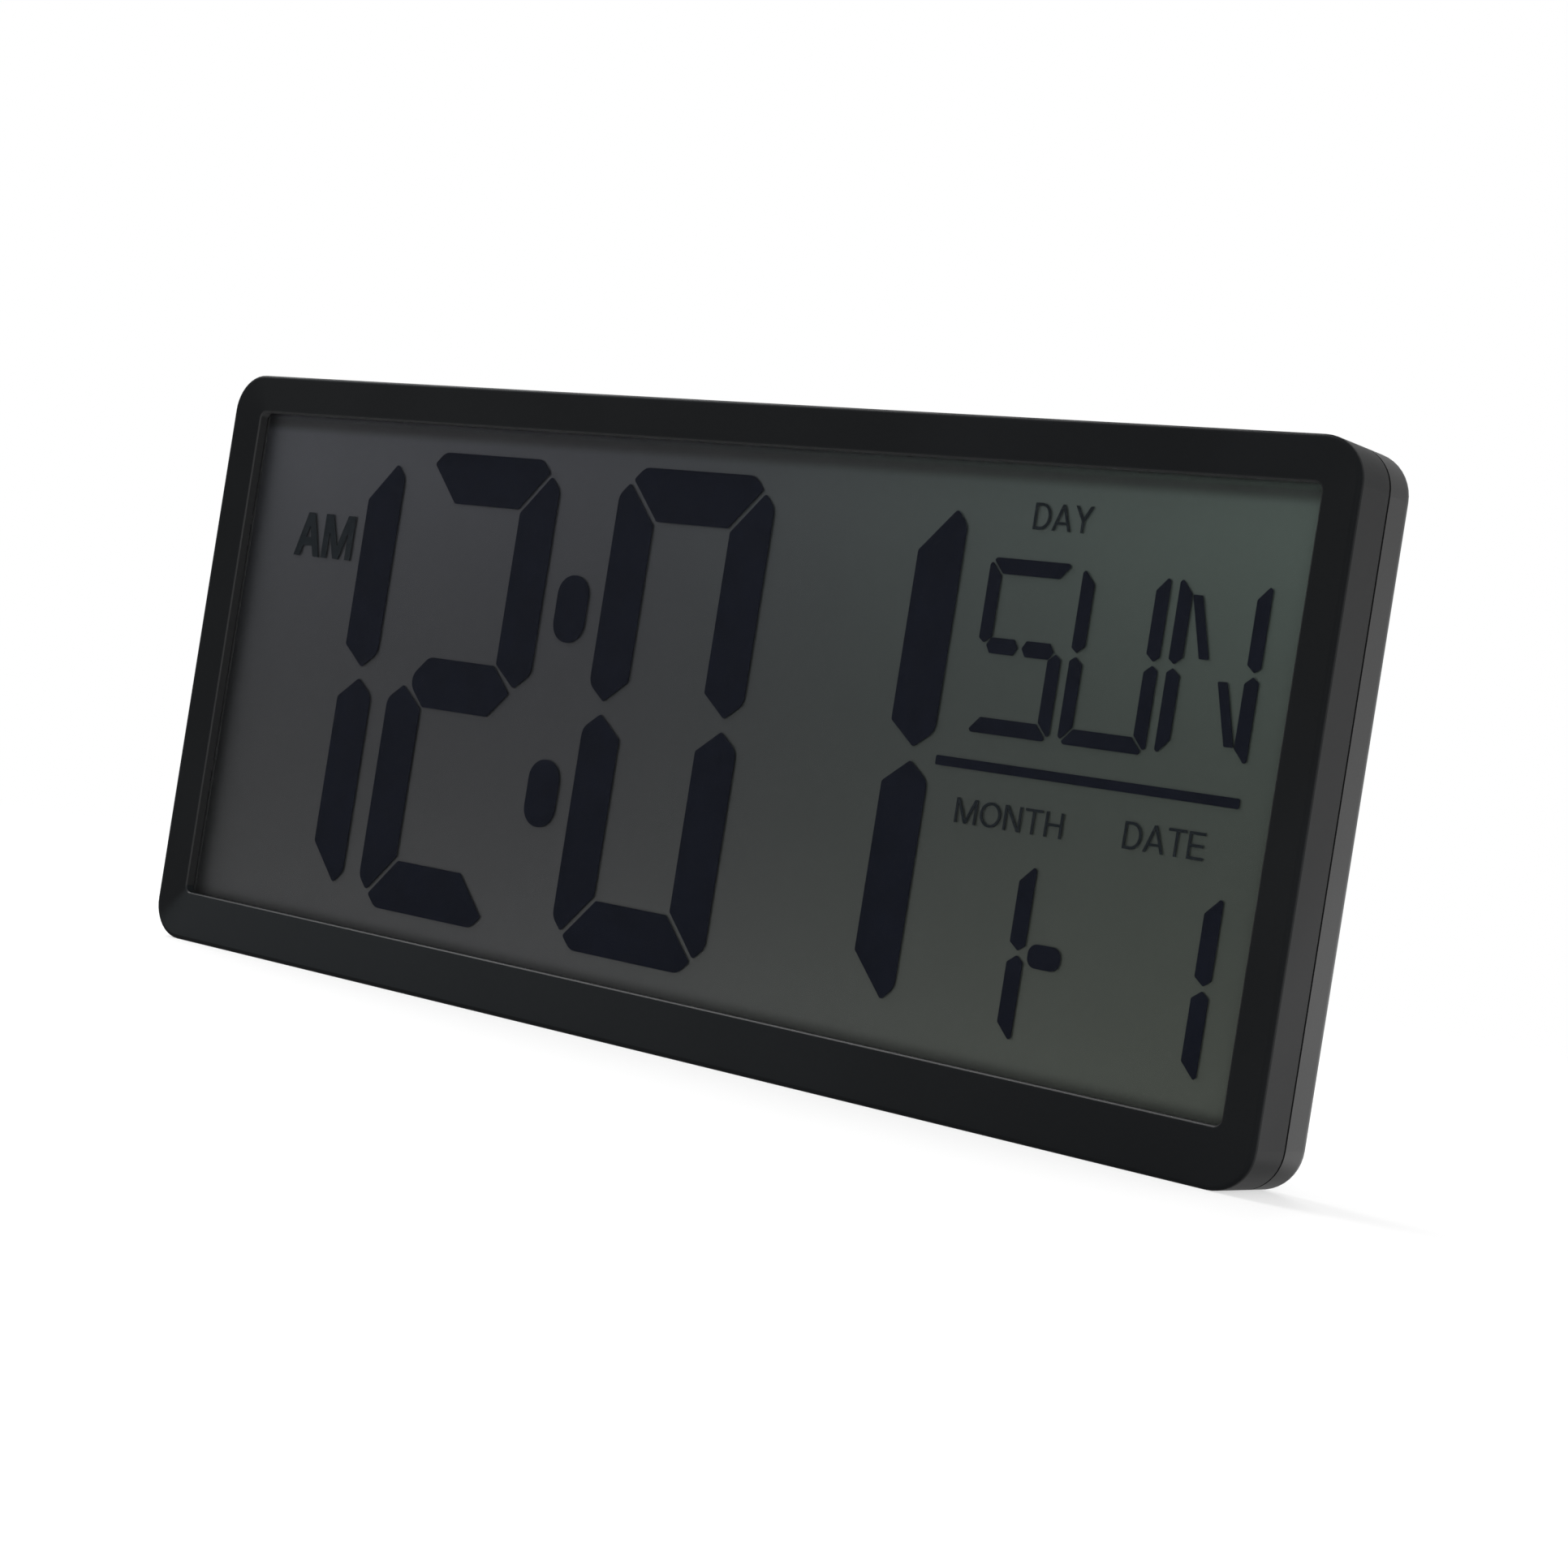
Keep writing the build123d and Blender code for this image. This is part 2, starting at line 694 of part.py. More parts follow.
def segment_shapes(x, z, w, h, t, bar, gap, cut):
    """The seven strokes of a digit whose lower left corner is at x, z, by their usual letters.

    Upright strokes are t wide and level ones bar high. The first two points of each stroke are its
    corners on the outline of the digit.
    """
    e = gap / (2 * sqrt(2))
    m = h / 2
    s = bar / 2
    tip = 3 * t / 7
    lift = 2 * tip / 7
    end = t / 2 + 2 * e / 3
    top = [
        (cut, h), (w - cut, h), (w - cut / 2 - e, h - cut / 2 + e),
        (w - t - 2 * e, h - bar), (t + 2 * e, h - bar), (cut / 2 + e, h - cut / 2 + e),
    ]
    upper_right = [
        (w, m + lift + 0.75 * tip), (w, h - cut), (w - cut / 2 + e, h - cut / 2 - e),
        (w - t, h - bar - 2 * e), (w - t, m + s + e), (w - tip, m + lift),
    ]
    middle = [
        (end, m), (end + s, m + s), (w - end - s, m + s),
        (w - end, m), (w - end - s, m - s), (end + s, m - s),
    ]
    shapes = {
        "a": top,
        "b": upper_right,
        "c": [(px, h - pz) for px, pz in upper_right],
        "d": [(px, h - pz) for px, pz in top],
        "e": [(w - px, h - pz) for px, pz in upper_right],
        "f": [(w - px, pz) for px, pz in upper_right],
        "g": middle,
    }
    return {name: [(x + px, z + pz) for px, pz in points] for name, points in shapes.items()}


def stroke(points, round_r, ease_r):
    """One dark stroke of the display: its first two corners eased more than the others."""
    face = Polygon(*points, align=None)
    outer = [min(face.vertices(), key=lambda v: abs(v.X - x) + abs(v.Y - z)) for x, z in points[:2]]
    face = fillet(outer, ease_r)
    kept = [min(face.vertices(), key=lambda v: abs(v.X - x) + abs(v.Y - z)) for x, z in points[2:]]
    face = fillet(kept, round_r)
    return slab(face, y_cell, y_cell + film_t)


def pill(x, z, w, h, r):
    """A rounded mark of the display, centred at x, z."""
    return slab(Pos(x, z) * RectangleRounded(w, h, r), y_cell, y_cell + film_t)


# Places of the time and calendar readouts in the window
x_one = -view_w / 2 + margin_left
x_two = x_one + segment_w + digit_space
x_zero = x_two + digit_w + colon_space
x_last = x_zero + digit_w + digit_space
x_calendar = x_last + digit_w + calendar_space
x_calendar_end = x_calendar + calendar_w
z_digit = z_window_bottom + margin_high - digit_drop
z_letter = z_digit + digit_h - letter_drop - letter_h
z_small = z_digit + small_digit_rise


def time_segments():
    """Strokes that show 12:01, and the colon."""
    round_r = 0.55 * segment_gap
    shown = ((x_one + segment_w - digit_w, "bc"), (x_two, "abged"), (x_zero, "abcdef"), (x_last, "bc"))
    solids = []
    for x, letters in shown:
        shapes = segment_shapes(
            x, z_digit, digit_w, digit_h, segment_w, segment_h, segment_gap, corner_cut
        )
        solids += [stroke(shapes[letter], round_r, corner_ease) for letter in letters]
    x_colon = (x_two + digit_w + x_zero) / 2
    for side in (-1, 1):
        z = z_digit + digit_h / 2 + side * colon_pitch / 2
        solids.append(pill(x_colon, z, colon_w, colon_h, colon_w * 0.48))
    return solids


def calendar_segments():
    """Strokes that show the weekday, the divider and the month and date."""
    t = letter_segment_w
    bar = letter_segment_h
    round_r = t / 10
    gap = t / 6
    cut = t / 2
    pitch = letter_w + letter_space
    letters = [
        segment_shapes(x_calendar + i * pitch, z_letter, letter_w, letter_h, t, bar, gap, cut)
        for i in range(3)
    ]
    solids = []
    for shapes, shown in zip(letters, ("afcd", "bcdef", "bcef")):
        solids += [stroke(shapes[letter], round_r, round_r) for letter in shown]
    m = z_letter + letter_h / 2
    mid = x_calendar + letter_w / 2
    arm = [(mid - gap, m), (mid - t / 2, m + bar / 2), (x_calendar + t, m + bar / 2),
           (x_calendar + t / 2 + gap, m), (x_calendar + t, m - bar / 2), (mid - t / 2, m - bar / 2)]
    solids.append(stroke(arm, round_r, round_r))
    solids.append(stroke([(2 * mid - px, pz) for px, pz in arm], round_r, round_r))
    x_n = x_calendar_end - letter_w / 2
    x0 = x_n - letter_w / 2 + t + slant_gap
    z0 = m + slant_rise
    slant = [
        (x0, z0 + slant_h), (x0 + slant_w, z0 + slant_h),
        (x0 + slant_w + slant_run, z0), (x0 + slant_run, z0),
    ]
    solids.append(stroke(slant, round_r, round_r))
    solids.append(stroke([(2 * x_n - px, 2 * m - pz) for px, pz in slant], round_r, round_r))
    z_bar = z_digit + digit_h - divider_drop
    solids.append(pill(x_calendar_end - divider_w / 2, z_bar, divider_w, divider_t, divider_t / 5))
    w = small_digit_h * digit_w / digit_h
    for right in (x_calendar_end - month_inset, x_calendar_end):
        cells = segment_shapes(
            right - w, z_small, w, small_digit_h, small_segment_w, small_segment_w, gap, cut
        )
        solids += [stroke(cells[letter], round_r, round_r) for letter in "bc"]
    x_dash = x_calendar_end - month_inset + small_segment_w / 4 + dash_w / 2
    solids.append(pill(x_dash, z_small + small_digit_h / 2, dash_w, dash_h, dash_corner_r))
    return solids


def all_nodes():
    """Every piece of the clock by name. A list is a group of separate solids."""
    z_up = z_tub + aa_half_pitch
    z_down = z_tub - aa_half_pitch
    half = contact_w / 2
    nodes = {
        "front_frame": front_frame(),
        "rear_cover": rear_cover(),
        "lcd_front_polarizer": lcd_sheet(y_lcd, y_front_glass, z_lcd_bottom, polarizer_inset),
        "lcd_front_glass": lcd_sheet(y_front_glass, y_cell, z_ledge_bottom),
        "lcd_seal": lcd_seal(),
        "time_segments": time_segments(),
        "calendar_segments": calendar_segments(),
        "lcd_rear_glass": lcd_sheet(y_rear_glass, y_reflector, z_lcd_bottom),
        "lcd_reflector": lcd_sheet(y_reflector, y_tray, z_lcd_bottom),
        "zebra_strip": block(
            board_left + zebra_inset, board_right - zebra_inset, y_cell, y_board,
            (z_lcd_bottom + z_ledge_bottom - zebra_t) / 2, (z_lcd_bottom + z_ledge_bottom + zebra_t) / 2,
        ),
        "display_tray": display_tray(),
        "tray_screws": [
            screw(x, z, y_tray_back, small_screw_r, small_head_r, small_head_h, small_screw_l)
            for x, z in tray_screw_points
        ],
        "main_board": main_board(),
        "driver_chip": driver_chip(),
        "quartz_crystal": quartz_crystal(),
        "capacitors": capacitors(),
        "tact_switches": [tact_switch(x) for x in button_xs],
        "board_screws": [
            screw(x, z, y_board_back, small_screw_r, small_head_r, small_head_h, board_screw_l)
            for x, z in board_screw_points
        ],
        "case_screws": [
            screw(x, z, y_case_seat, case_screw_r, case_head_r, case_head_h, case_screw_l)
            for x, z in case_screw_points
        ],
        "battery_cells": [battery_cell(z_up, 1), battery_cell(z_down, -1)],
        "battery_bridge_contact": contact_plate(-1, z_down - half, z_up + half) + contact_leaf(-1, z_up),
        "positive_contact": contact_plate(1, z_up - half, z_up + half) + contact_tail(z_up),
        "negative_contact": (
            contact_plate(1, z_down - half, z_down + half) + contact_leaf(1, z_down) + contact_tail(z_down)
        ),
        "positive_lead": lead(z_up, 1),
        "negative_lead": lead(z_down, 0),
        "battery_door": battery_door(),
        "stand_foot": stand_foot(),
        "stand_hinge_pin": stand_hinge_pin(),
    }
    for name, x in zip(button_names, button_xs):
        nodes[f"{name}_button"] = push_button(x)
        nodes[f"{name}_switch_plunger"] = switch_plunger(x)
    return nodes


os.makedirs("parts", exist_ok=True)
for node_name, shape in all_nodes().items():
    solid = Compound(children=shape) if isinstance(shape, list) else shape
    export_step(solid, f"parts/{node_name}.step")
print(f"case {case_w:.1f} x {case_d:.1f} x {case_h:.1f} mm, window {view_w:.1f} x {view_h:.1f} mm")
print(f"foot hinge at y {y_foot:.2f}, z {z_foot_hinge:.2f}; door axis at y {y_door_axis:.2f}, z {z_door_axis:.2f}")
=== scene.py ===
import json
import math

import bmesh
import bpy
from mathutils import Matrix, Vector


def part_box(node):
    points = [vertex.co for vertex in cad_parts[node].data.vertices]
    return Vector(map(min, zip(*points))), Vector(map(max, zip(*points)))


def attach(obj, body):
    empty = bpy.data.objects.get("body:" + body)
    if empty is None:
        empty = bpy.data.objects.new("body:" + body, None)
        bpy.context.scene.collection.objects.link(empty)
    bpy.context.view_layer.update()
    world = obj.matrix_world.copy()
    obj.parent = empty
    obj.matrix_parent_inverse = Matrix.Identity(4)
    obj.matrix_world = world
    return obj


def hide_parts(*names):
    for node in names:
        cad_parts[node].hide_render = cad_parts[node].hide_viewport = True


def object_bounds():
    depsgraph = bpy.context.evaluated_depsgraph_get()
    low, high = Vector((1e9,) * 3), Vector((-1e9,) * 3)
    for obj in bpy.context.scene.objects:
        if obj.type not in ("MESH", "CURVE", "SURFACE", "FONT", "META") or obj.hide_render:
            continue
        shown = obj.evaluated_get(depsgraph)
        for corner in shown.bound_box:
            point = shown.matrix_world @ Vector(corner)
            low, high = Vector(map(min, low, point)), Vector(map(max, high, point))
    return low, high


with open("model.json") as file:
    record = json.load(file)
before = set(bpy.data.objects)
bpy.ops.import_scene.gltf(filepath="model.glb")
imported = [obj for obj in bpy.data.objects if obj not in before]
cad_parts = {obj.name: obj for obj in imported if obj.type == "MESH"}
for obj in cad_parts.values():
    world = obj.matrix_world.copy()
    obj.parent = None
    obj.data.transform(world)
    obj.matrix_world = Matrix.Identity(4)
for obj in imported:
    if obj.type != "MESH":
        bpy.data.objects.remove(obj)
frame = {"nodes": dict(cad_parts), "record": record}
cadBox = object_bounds()
scene = bpy.context.scene
scene.view_settings.view_transform = "Standard"
mm = 0.001  # sizes below are in millimetres


class Calc:  # a socket that adds Math nodes where it stands in an expression
    def __init__(self, sheet, socket):
        self.sheet = sheet
        self.socket = socket

    def maths(self, operation, *parts):
        return self.sheet.add("ShaderNodeMath", {"operation": operation}, dict(enumerate((self, *parts))))

    def other(self, name):  # another output of the same node
        return Calc(self.sheet, self.socket.node.outputs[name])

    def fade(self, low, high):  # 0 up to low, 1 from high on, smooth between
        sockets = {"Value": self, "From Min": low, "From Max": high}
        return self.sheet.add("ShaderNodeMapRange", {"interpolation_type": "SMOOTHSTEP"}, sockets)

    def edge(self, middle, blur):  # 0 before a place in mm and 1 past it
        return self.fade((middle - blur) * mm, (middle + blur) * mm)

    def between(self, first, second):  # first where this is 0, second where it is 1
        return self * (second - first) + first

    def __add__(self, part):
        return self.maths("ADD", part)

    def __sub__(self, part):
        return self.maths("SUBTRACT", part)

    def __rsub__(self, part):
        return self.sheet.add("ShaderNodeMath", {"operation": "SUBTRACT"}, {0: part, 1: self})

    def __mul__(self, part):
        return self.maths("MULTIPLY", part)

    def __abs__(self):
        return self.maths("ABSOLUTE")

    __radd__ = __add__
    __rmul__ = __mul__


class NodeSheet:  # one node tree and the ways to add to it
    def __init__(self, tree):
        self.tree = tree
        tree.nodes.clear()

    def add(self, kind, settings=None, sockets=None, out=0):
        node = self.tree.nodes.new(kind)
        for key, value in (settings or {}).items():
            setattr(node, key, value)
        for key, value in (sockets or {}).items():
            if isinstance(value, Calc):
                self.tree.links.new(value.socket, node.inputs[key])
            else:
                node.inputs[key].default_value = value
        return Calc(self, node.outputs[out]) if node.outputs else node

    def place(self):
        return self.add("ShaderNodeTexCoord", out="Object")

    def axes(self, vector):
        part = self.add("ShaderNodeSeparateXYZ", None, {0: vector})
        return part, part.other("Y"), part.other("Z")

    def tilt(self):  # 1 where a face looks up, -1 where it looks down
        return self.axes(self.add("ShaderNodeNewGeometry", out="Normal"))[2]

    def rays(self):  # those from the camera, and those by way of a mirror or a glass
        seen = self.add("ShaderNodeLightPath", out="Is Camera Ray")
        return seen, seen.other("Is Glossy Ray").maths("MAXIMUM", seen.other("Is Transmission Ray"))

    def noise(self, vector, scale, detail=2.0, rough=0.5):
        sockets = {"Vector": vector, "Scale": scale, "Detail": detail, "Roughness": rough}
        return self.add("ShaderNodeTexNoise", None, sockets)

    def tint(self, share, first, second):  # colour mix
        sockets = {0: share, 6: paint(first), 7: paint(second)}
        return self.add("ShaderNodeMix", {"data_type": "RGBA"}, sockets, 2)

    def either(self, share, first, second):  # shader mix
        return self.add("ShaderNodeMixShader", None, {0: share, 1: first, 2: second})

    def bump(self, height, strength, depth):
        sockets = {"Strength": strength, "Distance": depth * mm, "Height": height}
        return self.add("ShaderNodeBump", None, sockets)

    def surface(self, **sockets):
        named = {key.replace("_", " "): value for key, value in sockets.items()}
        return self.add("ShaderNodeBsdfPrincipled", None, named)


def paint(colour):
    return colour if isinstance(colour, Calc) else (*colour, 1.0)


def fromScreen(red, green, blue):  # 0 to 255 as a screen shows it, to linear light by the sRGB curve
    shares = (value / 255 for value in (red, green, blue))
    return tuple(v / 12.92 if v <= 0.04045 else ((v + 0.055) / 1.055) ** 2.4 for v in shares)


def newFinish(name):
    material = bpy.data.materials.new(name)
    material.use_nodes = True
    return material, NodeSheet(material.node_tree)


def closeFinish(material, sheet, shader):
    sheet.add("ShaderNodeOutputMaterial", None, {"Surface": shader})
    return material


# Camera, fitted to the edges of the clock's front in the photograph
photoView = {
    "spot": (477.483, -577.296, -9.576),
    "turn": 38.384,  # degrees, to the right of straight on
    "tilt": 0.076,
    "roll": 9.053,
    "lens": 66.30,
    "sensor": 36.0,
    "clipNear": 10,
    "clipFar": 50000,
}


def makeCamera(view):
    turn, tilt, roll = (math.radians(view[key]) for key in ("turn", "tilt", "roll"))
    right = Vector((math.cos(turn), math.sin(turn), 0))
    back = Vector((math.sin(turn) * math.cos(tilt), -math.cos(turn) * math.cos(tilt), math.sin(tilt)))
    up = back.cross(right)
    rolledRight = right * math.cos(roll) + up * math.sin(roll)
    rolledUp = up * math.cos(roll) - right * math.sin(roll)
    lensData = bpy.data.cameras.new("photoCamera")
    lensData.lens = view["lens"]
    lensData.sensor_width = view["sensor"]
    lensData.clip_start = view["clipNear"] * mm
    lensData.clip_end = view["clipFar"] * mm
    camera = bpy.data.objects.new("photoCamera", lensData)
    scene.collection.objects.link(camera)
    axes = Matrix((rolledRight, rolledUp, back)).transposed().to_4x4()
    camera.matrix_world = Matrix.Translation(Vector(view["spot"]) * mm) @ axes
    scene.camera = camera


makeCamera(photoView)
print("camera set")


# Studio: white behind the clock, a dimmer room in front of it, and three soft lamps
studioAir = {
    "fill": 0.5,  # light on matt surfaces; the rest is what gloss mirrors
    "front": 0.5, "behindLow": 0.86, "behindHigh": 0.48,
    "turnover": 0.35, "lowFrom": -0.15, "highFrom": 0.25,
}
studioLamps = {
    "keyLamp": {"spot": (1560, -1860, 420), "side": 1000, "power": 36, "gleams": False},
    "topLamp": {"spot": (-1050, -150, 1400), "side": 1200, "power": 24, "gleams": True},
    "backLamp": {"spot": (-900, 1700, 900), "side": 1000, "power": 26, "gleams": False},
}
studioFloor = {
    "half": 4000, "pale": 0.6,
    "seen": 0.4, "glow": 0.62, "mottle": 0.02, "mottleScale": 30, "near": 320, "far": 800,  # to the camera
    "front": 0.68, "behind": 1.0, "turnFrom": -80, "turnTo": 20,  # to gloss
    "contact": 0.36, "contactReach": 26,  # painted contact shadow, seen in gloss: dimmer where the clock meets the floor
}


def makeAir(air):
    world = bpy.data.worlds.new("studioAir")
    world.use_nodes = True
    sheet = NodeSheet(world.node_tree)
    seen, mirror = sheet.rays()
    _, y, z = sheet.axes(sheet.add("ShaderNodeTexCoord", out="Generated"))
    behind = z.fade(air["lowFrom"], air["highFrom"]).between(air["behindLow"], air["behindHigh"])
    mirrored = y.fade(-air["turnover"], air["turnover"]).between(air["front"], behind)
    unseen = mirror.between(air["fill"], mirrored)
    sockets = {"Color": (1, 1, 1, 1), "Strength": seen.between(unseen, 1.0)}
    glow = sheet.add("ShaderNodeBackground", None, sockets)
    sheet.add("ShaderNodeOutputWorld", None, {"Surface": glow})
    scene.world = world


def makeLamp(name, plan):
    lampData = bpy.data.lights.new(name, "AREA")
    lampData.size = plan["side"] * mm
    lampData.energy = plan["power"]
    lamp = bpy.data.objects.new(name, lampData)
    lamp.location = Vector(plan["spot"]) * mm
    lamp.rotation_euler = (-lamp.location).to_track_quat("-Z", "Y").to_euler()
    lamp.visible_camera = False
    lamp.visible_glossy = plan["gleams"]  # low lamps would burn out the top of the case
    scene.collection.objects.link(lamp)


def makeFloor(plan):
    low, high = cadBox
    half = plan["half"] * mm
    mesh = bpy.data.meshes.new("studioFloor")
    corners = [(-half, -half, low.z), (half, -half, low.z), (half, half, low.z), (-half, half, low.z)]
    mesh.from_pydata(corners, [], [(0, 1, 2, 3)])
    material, sheet = newFinish("paleFloor")
    place = sheet.place()
    x, y, _ = sheet.axes(place)
    mottle = sheet.noise(place, plan["mottleScale"]) * plan["mottle"]
    tone = sheet.tint(mottle, (plan["seen"],) * 3, (1, 1, 1))
    lit = sheet.add("ShaderNodeBsdfDiffuse", None, {"Color": tone})
    glow = sheet.add("ShaderNodeEmission", None, {"Strength": plan["glow"]})
    white = sheet.add("ShaderNodeEmission", None, {"Strength": 1.0})
    near = sheet.add("ShaderNodeAddShader", None, {0: lit, 1: glow})
    away = (x * x + y * y).maths("SQRT").fade(plan["near"] * mm, plan["far"] * mm)
    toCamera = sheet.either(away, near, white)
    plain = sheet.add("ShaderNodeBsdfDiffuse", None, {"Color": paint((plan["pale"],) * 3)})
    gapX = (abs(x) - high.x).maths("MAXIMUM", 0.0)
    gapY = (abs(y - (low.y + high.y) / 2) - (high.y - low.y) / 2).maths("MAXIMUM", 0.0)
    gap = (gapX * gapX + gapY * gapY).maths("SQRT")  # from the clock's outline
    strength = y.fade(plan["turnFrom"] * mm, plan["turnTo"] * mm).between(plan["front"], plan["behind"])
    # painted shadow: the floor as gloss sees it is dimmer near the clock's outline
    strength = strength * gap.fade(0.0, plan["contactReach"] * mm).between(plan["contact"], 1.0)
    mirrored = sheet.add("ShaderNodeEmission", None, {"Strength": strength})
    seen, mirror = sheet.rays()
    shader = sheet.either(seen, sheet.either(mirror, plain, mirrored), toCamera)
    mesh.materials.append(closeFinish(material, sheet, shader))
    floor = bpy.data.objects.new("studioFloor", mesh)
    scene.collection.objects.link(floor)


makeAir(studioAir)
for lampName, lampPlan in studioLamps.items():
    makeLamp(lampName, lampPlan)
makeFloor(studioFloor)
print("studio set")


# Moulded plastics, rubber and resin: slow flow of the melt, grain and pits of the mould
softNoise = (0.3, 0.7)  # most of a noise lies between these
plasticMix = {"detail": 3, "grainRough": 0.6, "grainBump": 0.65, "pitBump": 0.35,
              "flowTone": 0.7, "grainTone": 0.3, "coatRough": 0.3}
plasticLooks = {
    "case_black": {
        "deep": (0.0060, 0.0062, 0.0065), "pale": (0.0080, 0.0083, 0.0086), "gloss": 0.5, "coat": 0.2,
        "rough": 0.42, "span": 0.08, "flow": 22, "grain": 1500, "pit": 2600, "bump": 0.2, "depth": 0.05,
    },
    "caseFront": {
        "deep": (0.0054, 0.0060, 0.0067), "pale": (0.0071, 0.0079, 0.0088), "gloss": 0.08,
        "rough": 0.42, "span": 0.08, "flow": 22, "grain": 1500, "pit": 2600, "bump": 0.22, "depth": 0.05,
        # painted light in the walls: a tone lighter than the bezel, and a lighter one for faces under the
        # top lip
        "walls": {"front": -24.55, "back": -24.40, "tone": (0.0215, 0.0220, 0.0225),
                  "lipFrom": -24.2, "lipEnd": -24.1, "lipCoat": 0.24,
                  "outX": 178, "outZ": 77.5, "outBlur": 1, "coat": 0.14,
                  "paintedCeilingLight": (0.056, 0.057, 0.058), "downFrom": -0.2, "downTo": -0.9},
        # painted sheen with a little dust: lighter where the bezel faces up, more towards the left
        "dustAndSheen": {"tone": (0.0125, 0.0142, 0.0156), "flat": 0.05, "tilted": 0.11, "left": -180, "right": 190,
                 "even": 0.8, "grainy": 0.4},
    },
    "caseRear": {
        "deep": (0.0060, 0.0062, 0.0065), "pale": (0.0080, 0.0083, 0.0086), "gloss": 0.6, "coat": 0.24,
        "rough": 0.40, "span": 0.08, "flow": 22, "grain": 1500, "pit": 2600, "bump": 0.2, "depth": 0.05,
    },
    "button_grey": {
        "deep": (0.085, 0.088, 0.092), "pale": (0.110, 0.114, 0.118), "gloss": 0.35,
        "rough": 0.5, "span": 0.1, "flow": 160, "grain": 2200, "pit": 3600, "bump": 0.2, "depth": 0.04,
    },
    "legendPaint": {
        "deep": (0.34, 0.35, 0.36), "pale": (0.46, 0.47, 0.48), "gloss": 0.3,
        "rough": 0.55, "span": 0.1, "flow": 400, "grain": 2200, "pit": 3600, "bump": 0.1, "depth": 0.02,
    },
    "tray_plastic": {
        "deep": (0.50, 0.50, 0.48), "pale": (0.60, 0.60, 0.575), "gloss": 0.4,
        "rough": 0.48, "span": 0.1, "flow": 30, "grain": 900, "pit": 1800, "bump": 0.15, "depth": 0.05,
    },
    "switch_plastic": {
        "deep": (0.010, 0.010, 0.011), "pale": (0.018, 0.018, 0.019), "gloss": 0.4,
        "rough": 0.4, "span": 0.1, "flow": 300, "grain": 2500, "pit": 4000, "bump": 0.15, "depth": 0.03,
    },
    "lead_red": {
        "deep": (0.30, 0.010, 0.008), "pale": (0.42, 0.018, 0.012), "gloss": 0.45,
        "rough": 0.36, "span": 0.12, "flow": 120, "grain": 1500, "pit": 3000, "bump": 0.08, "depth": 0.03,
    },
    "lead_black": {
        "deep": (0.008, 0.008, 0.008), "pale": (0.016, 0.016, 0.016), "gloss": 0.45,
        "rough": 0.36, "span": 0.12, "flow": 120, "grain": 1500, "pit": 3000, "bump": 0.08, "depth": 0.03,
    },
    # a grey lighter than black: painted light that lifts the shade in the gap under the window rim
    "seal_resin": {
        "deep": (0.026, 0.027, 0.028), "pale": (0.034, 0.035, 0.036), "gloss": 0.3,
        "rough": 0.45, "span": 0.15, "flow": 200, "grain": 900, "pit": 1800, "bump": 0.1, "depth": 0.03,
    },
    "chip_resin": {
        "deep": (0.005, 0.005, 0.005), "pale": (0.010, 0.010, 0.010), "gloss": 0.5,
        "rough": 0.2, "span": 0.12, "flow": 240, "grain": 500, "pit": 900, "bump": 0.25, "depth": 0.12,
    },
}


def bezelAndWalls(sheet, place, colour, grain, walls, dustAndSheen):  # etched matt in front, left as moulded behind; painted light makes the walls lighter and a painted sheen lies on the bezel
    x, y, z = sheet.axes(place)
    tilt = sheet.tilt()
    behind = y.fade(walls["front"] * mm, walls["back"] * mm)
    sides = abs(x).edge(walls["outX"], walls["outBlur"])
    outer = sides.maths("MAXIMUM", abs(z).edge(walls["outZ"], walls["outBlur"]))
    down = tilt.fade(walls["downFrom"], walls["downTo"])  # faces under the top lip, painted lighter
    rim = 1 - y.fade(walls["lipFrom"] * mm, walls["lipEnd"] * mm)
    # painted light: the walls lighter than the bezel, and lighter still under the top lip
    paintedWallLight = sheet.tint(down * (1 - rim), walls["tone"], walls["paintedCeilingLight"])
    polish = behind * (outer * walls["coat"] + rim * (1 - outer) * (1 - down) * walls["lipCoat"])
    paintedSheen = (1 - x.fade(dustAndSheen["left"] * mm, dustAndSheen["right"] * mm)) * tilt.fade(dustAndSheen["flat"], dustAndSheen["tilted"])
    paintedSheen = paintedSheen * (grain * dustAndSheen["grainy"] + dustAndSheen["even"])  # painted sheen with a little dust, where the bezel leans back, lighter towards the left
    return sheet.tint(paintedSheen, sheet.tint(behind, colour, paintedWallLight), dustAndSheen["tone"]), polish


def mouldedPlastic(name, look, mix):
    material, sheet = newFinish(name)
    place = sheet.place()
    flow = sheet.noise(place, look["flow"], mix["detail"]).fade(*softNoise)
    grain = sheet.noise(place, look["grain"], mix["detail"], mix["grainRough"])
    pitSockets = {"Vector": place, "Scale": look["pit"]}
    pit = sheet.add("ShaderNodeTexVoronoi", {"feature": "SMOOTH_F1"}, pitSockets)
    normal = sheet.bump(grain * mix["grainBump"] + pit * mix["pitBump"], look["bump"], look["depth"])
    rough = flow * look["span"] + grain * look["span"] + (look["rough"] - look["span"])
    colour = sheet.tint(flow * mix["flowTone"] + grain * mix["grainTone"], look["deep"], look["pale"])
    polish = look.get("coat", 0.0)
    if "walls" in look:
        colour, polish = bezelAndWalls(sheet, place, colour, grain, look["walls"], look["dustAndSheen"])
    shader = sheet.surface(Base_Color=colour, Roughness=rough, Specular_IOR_Level=look["gloss"],
                           Coat_Weight=polish, Coat_Roughness=mix["coatRough"], Normal=normal)
    return closeFinish(material, sheet, shader)


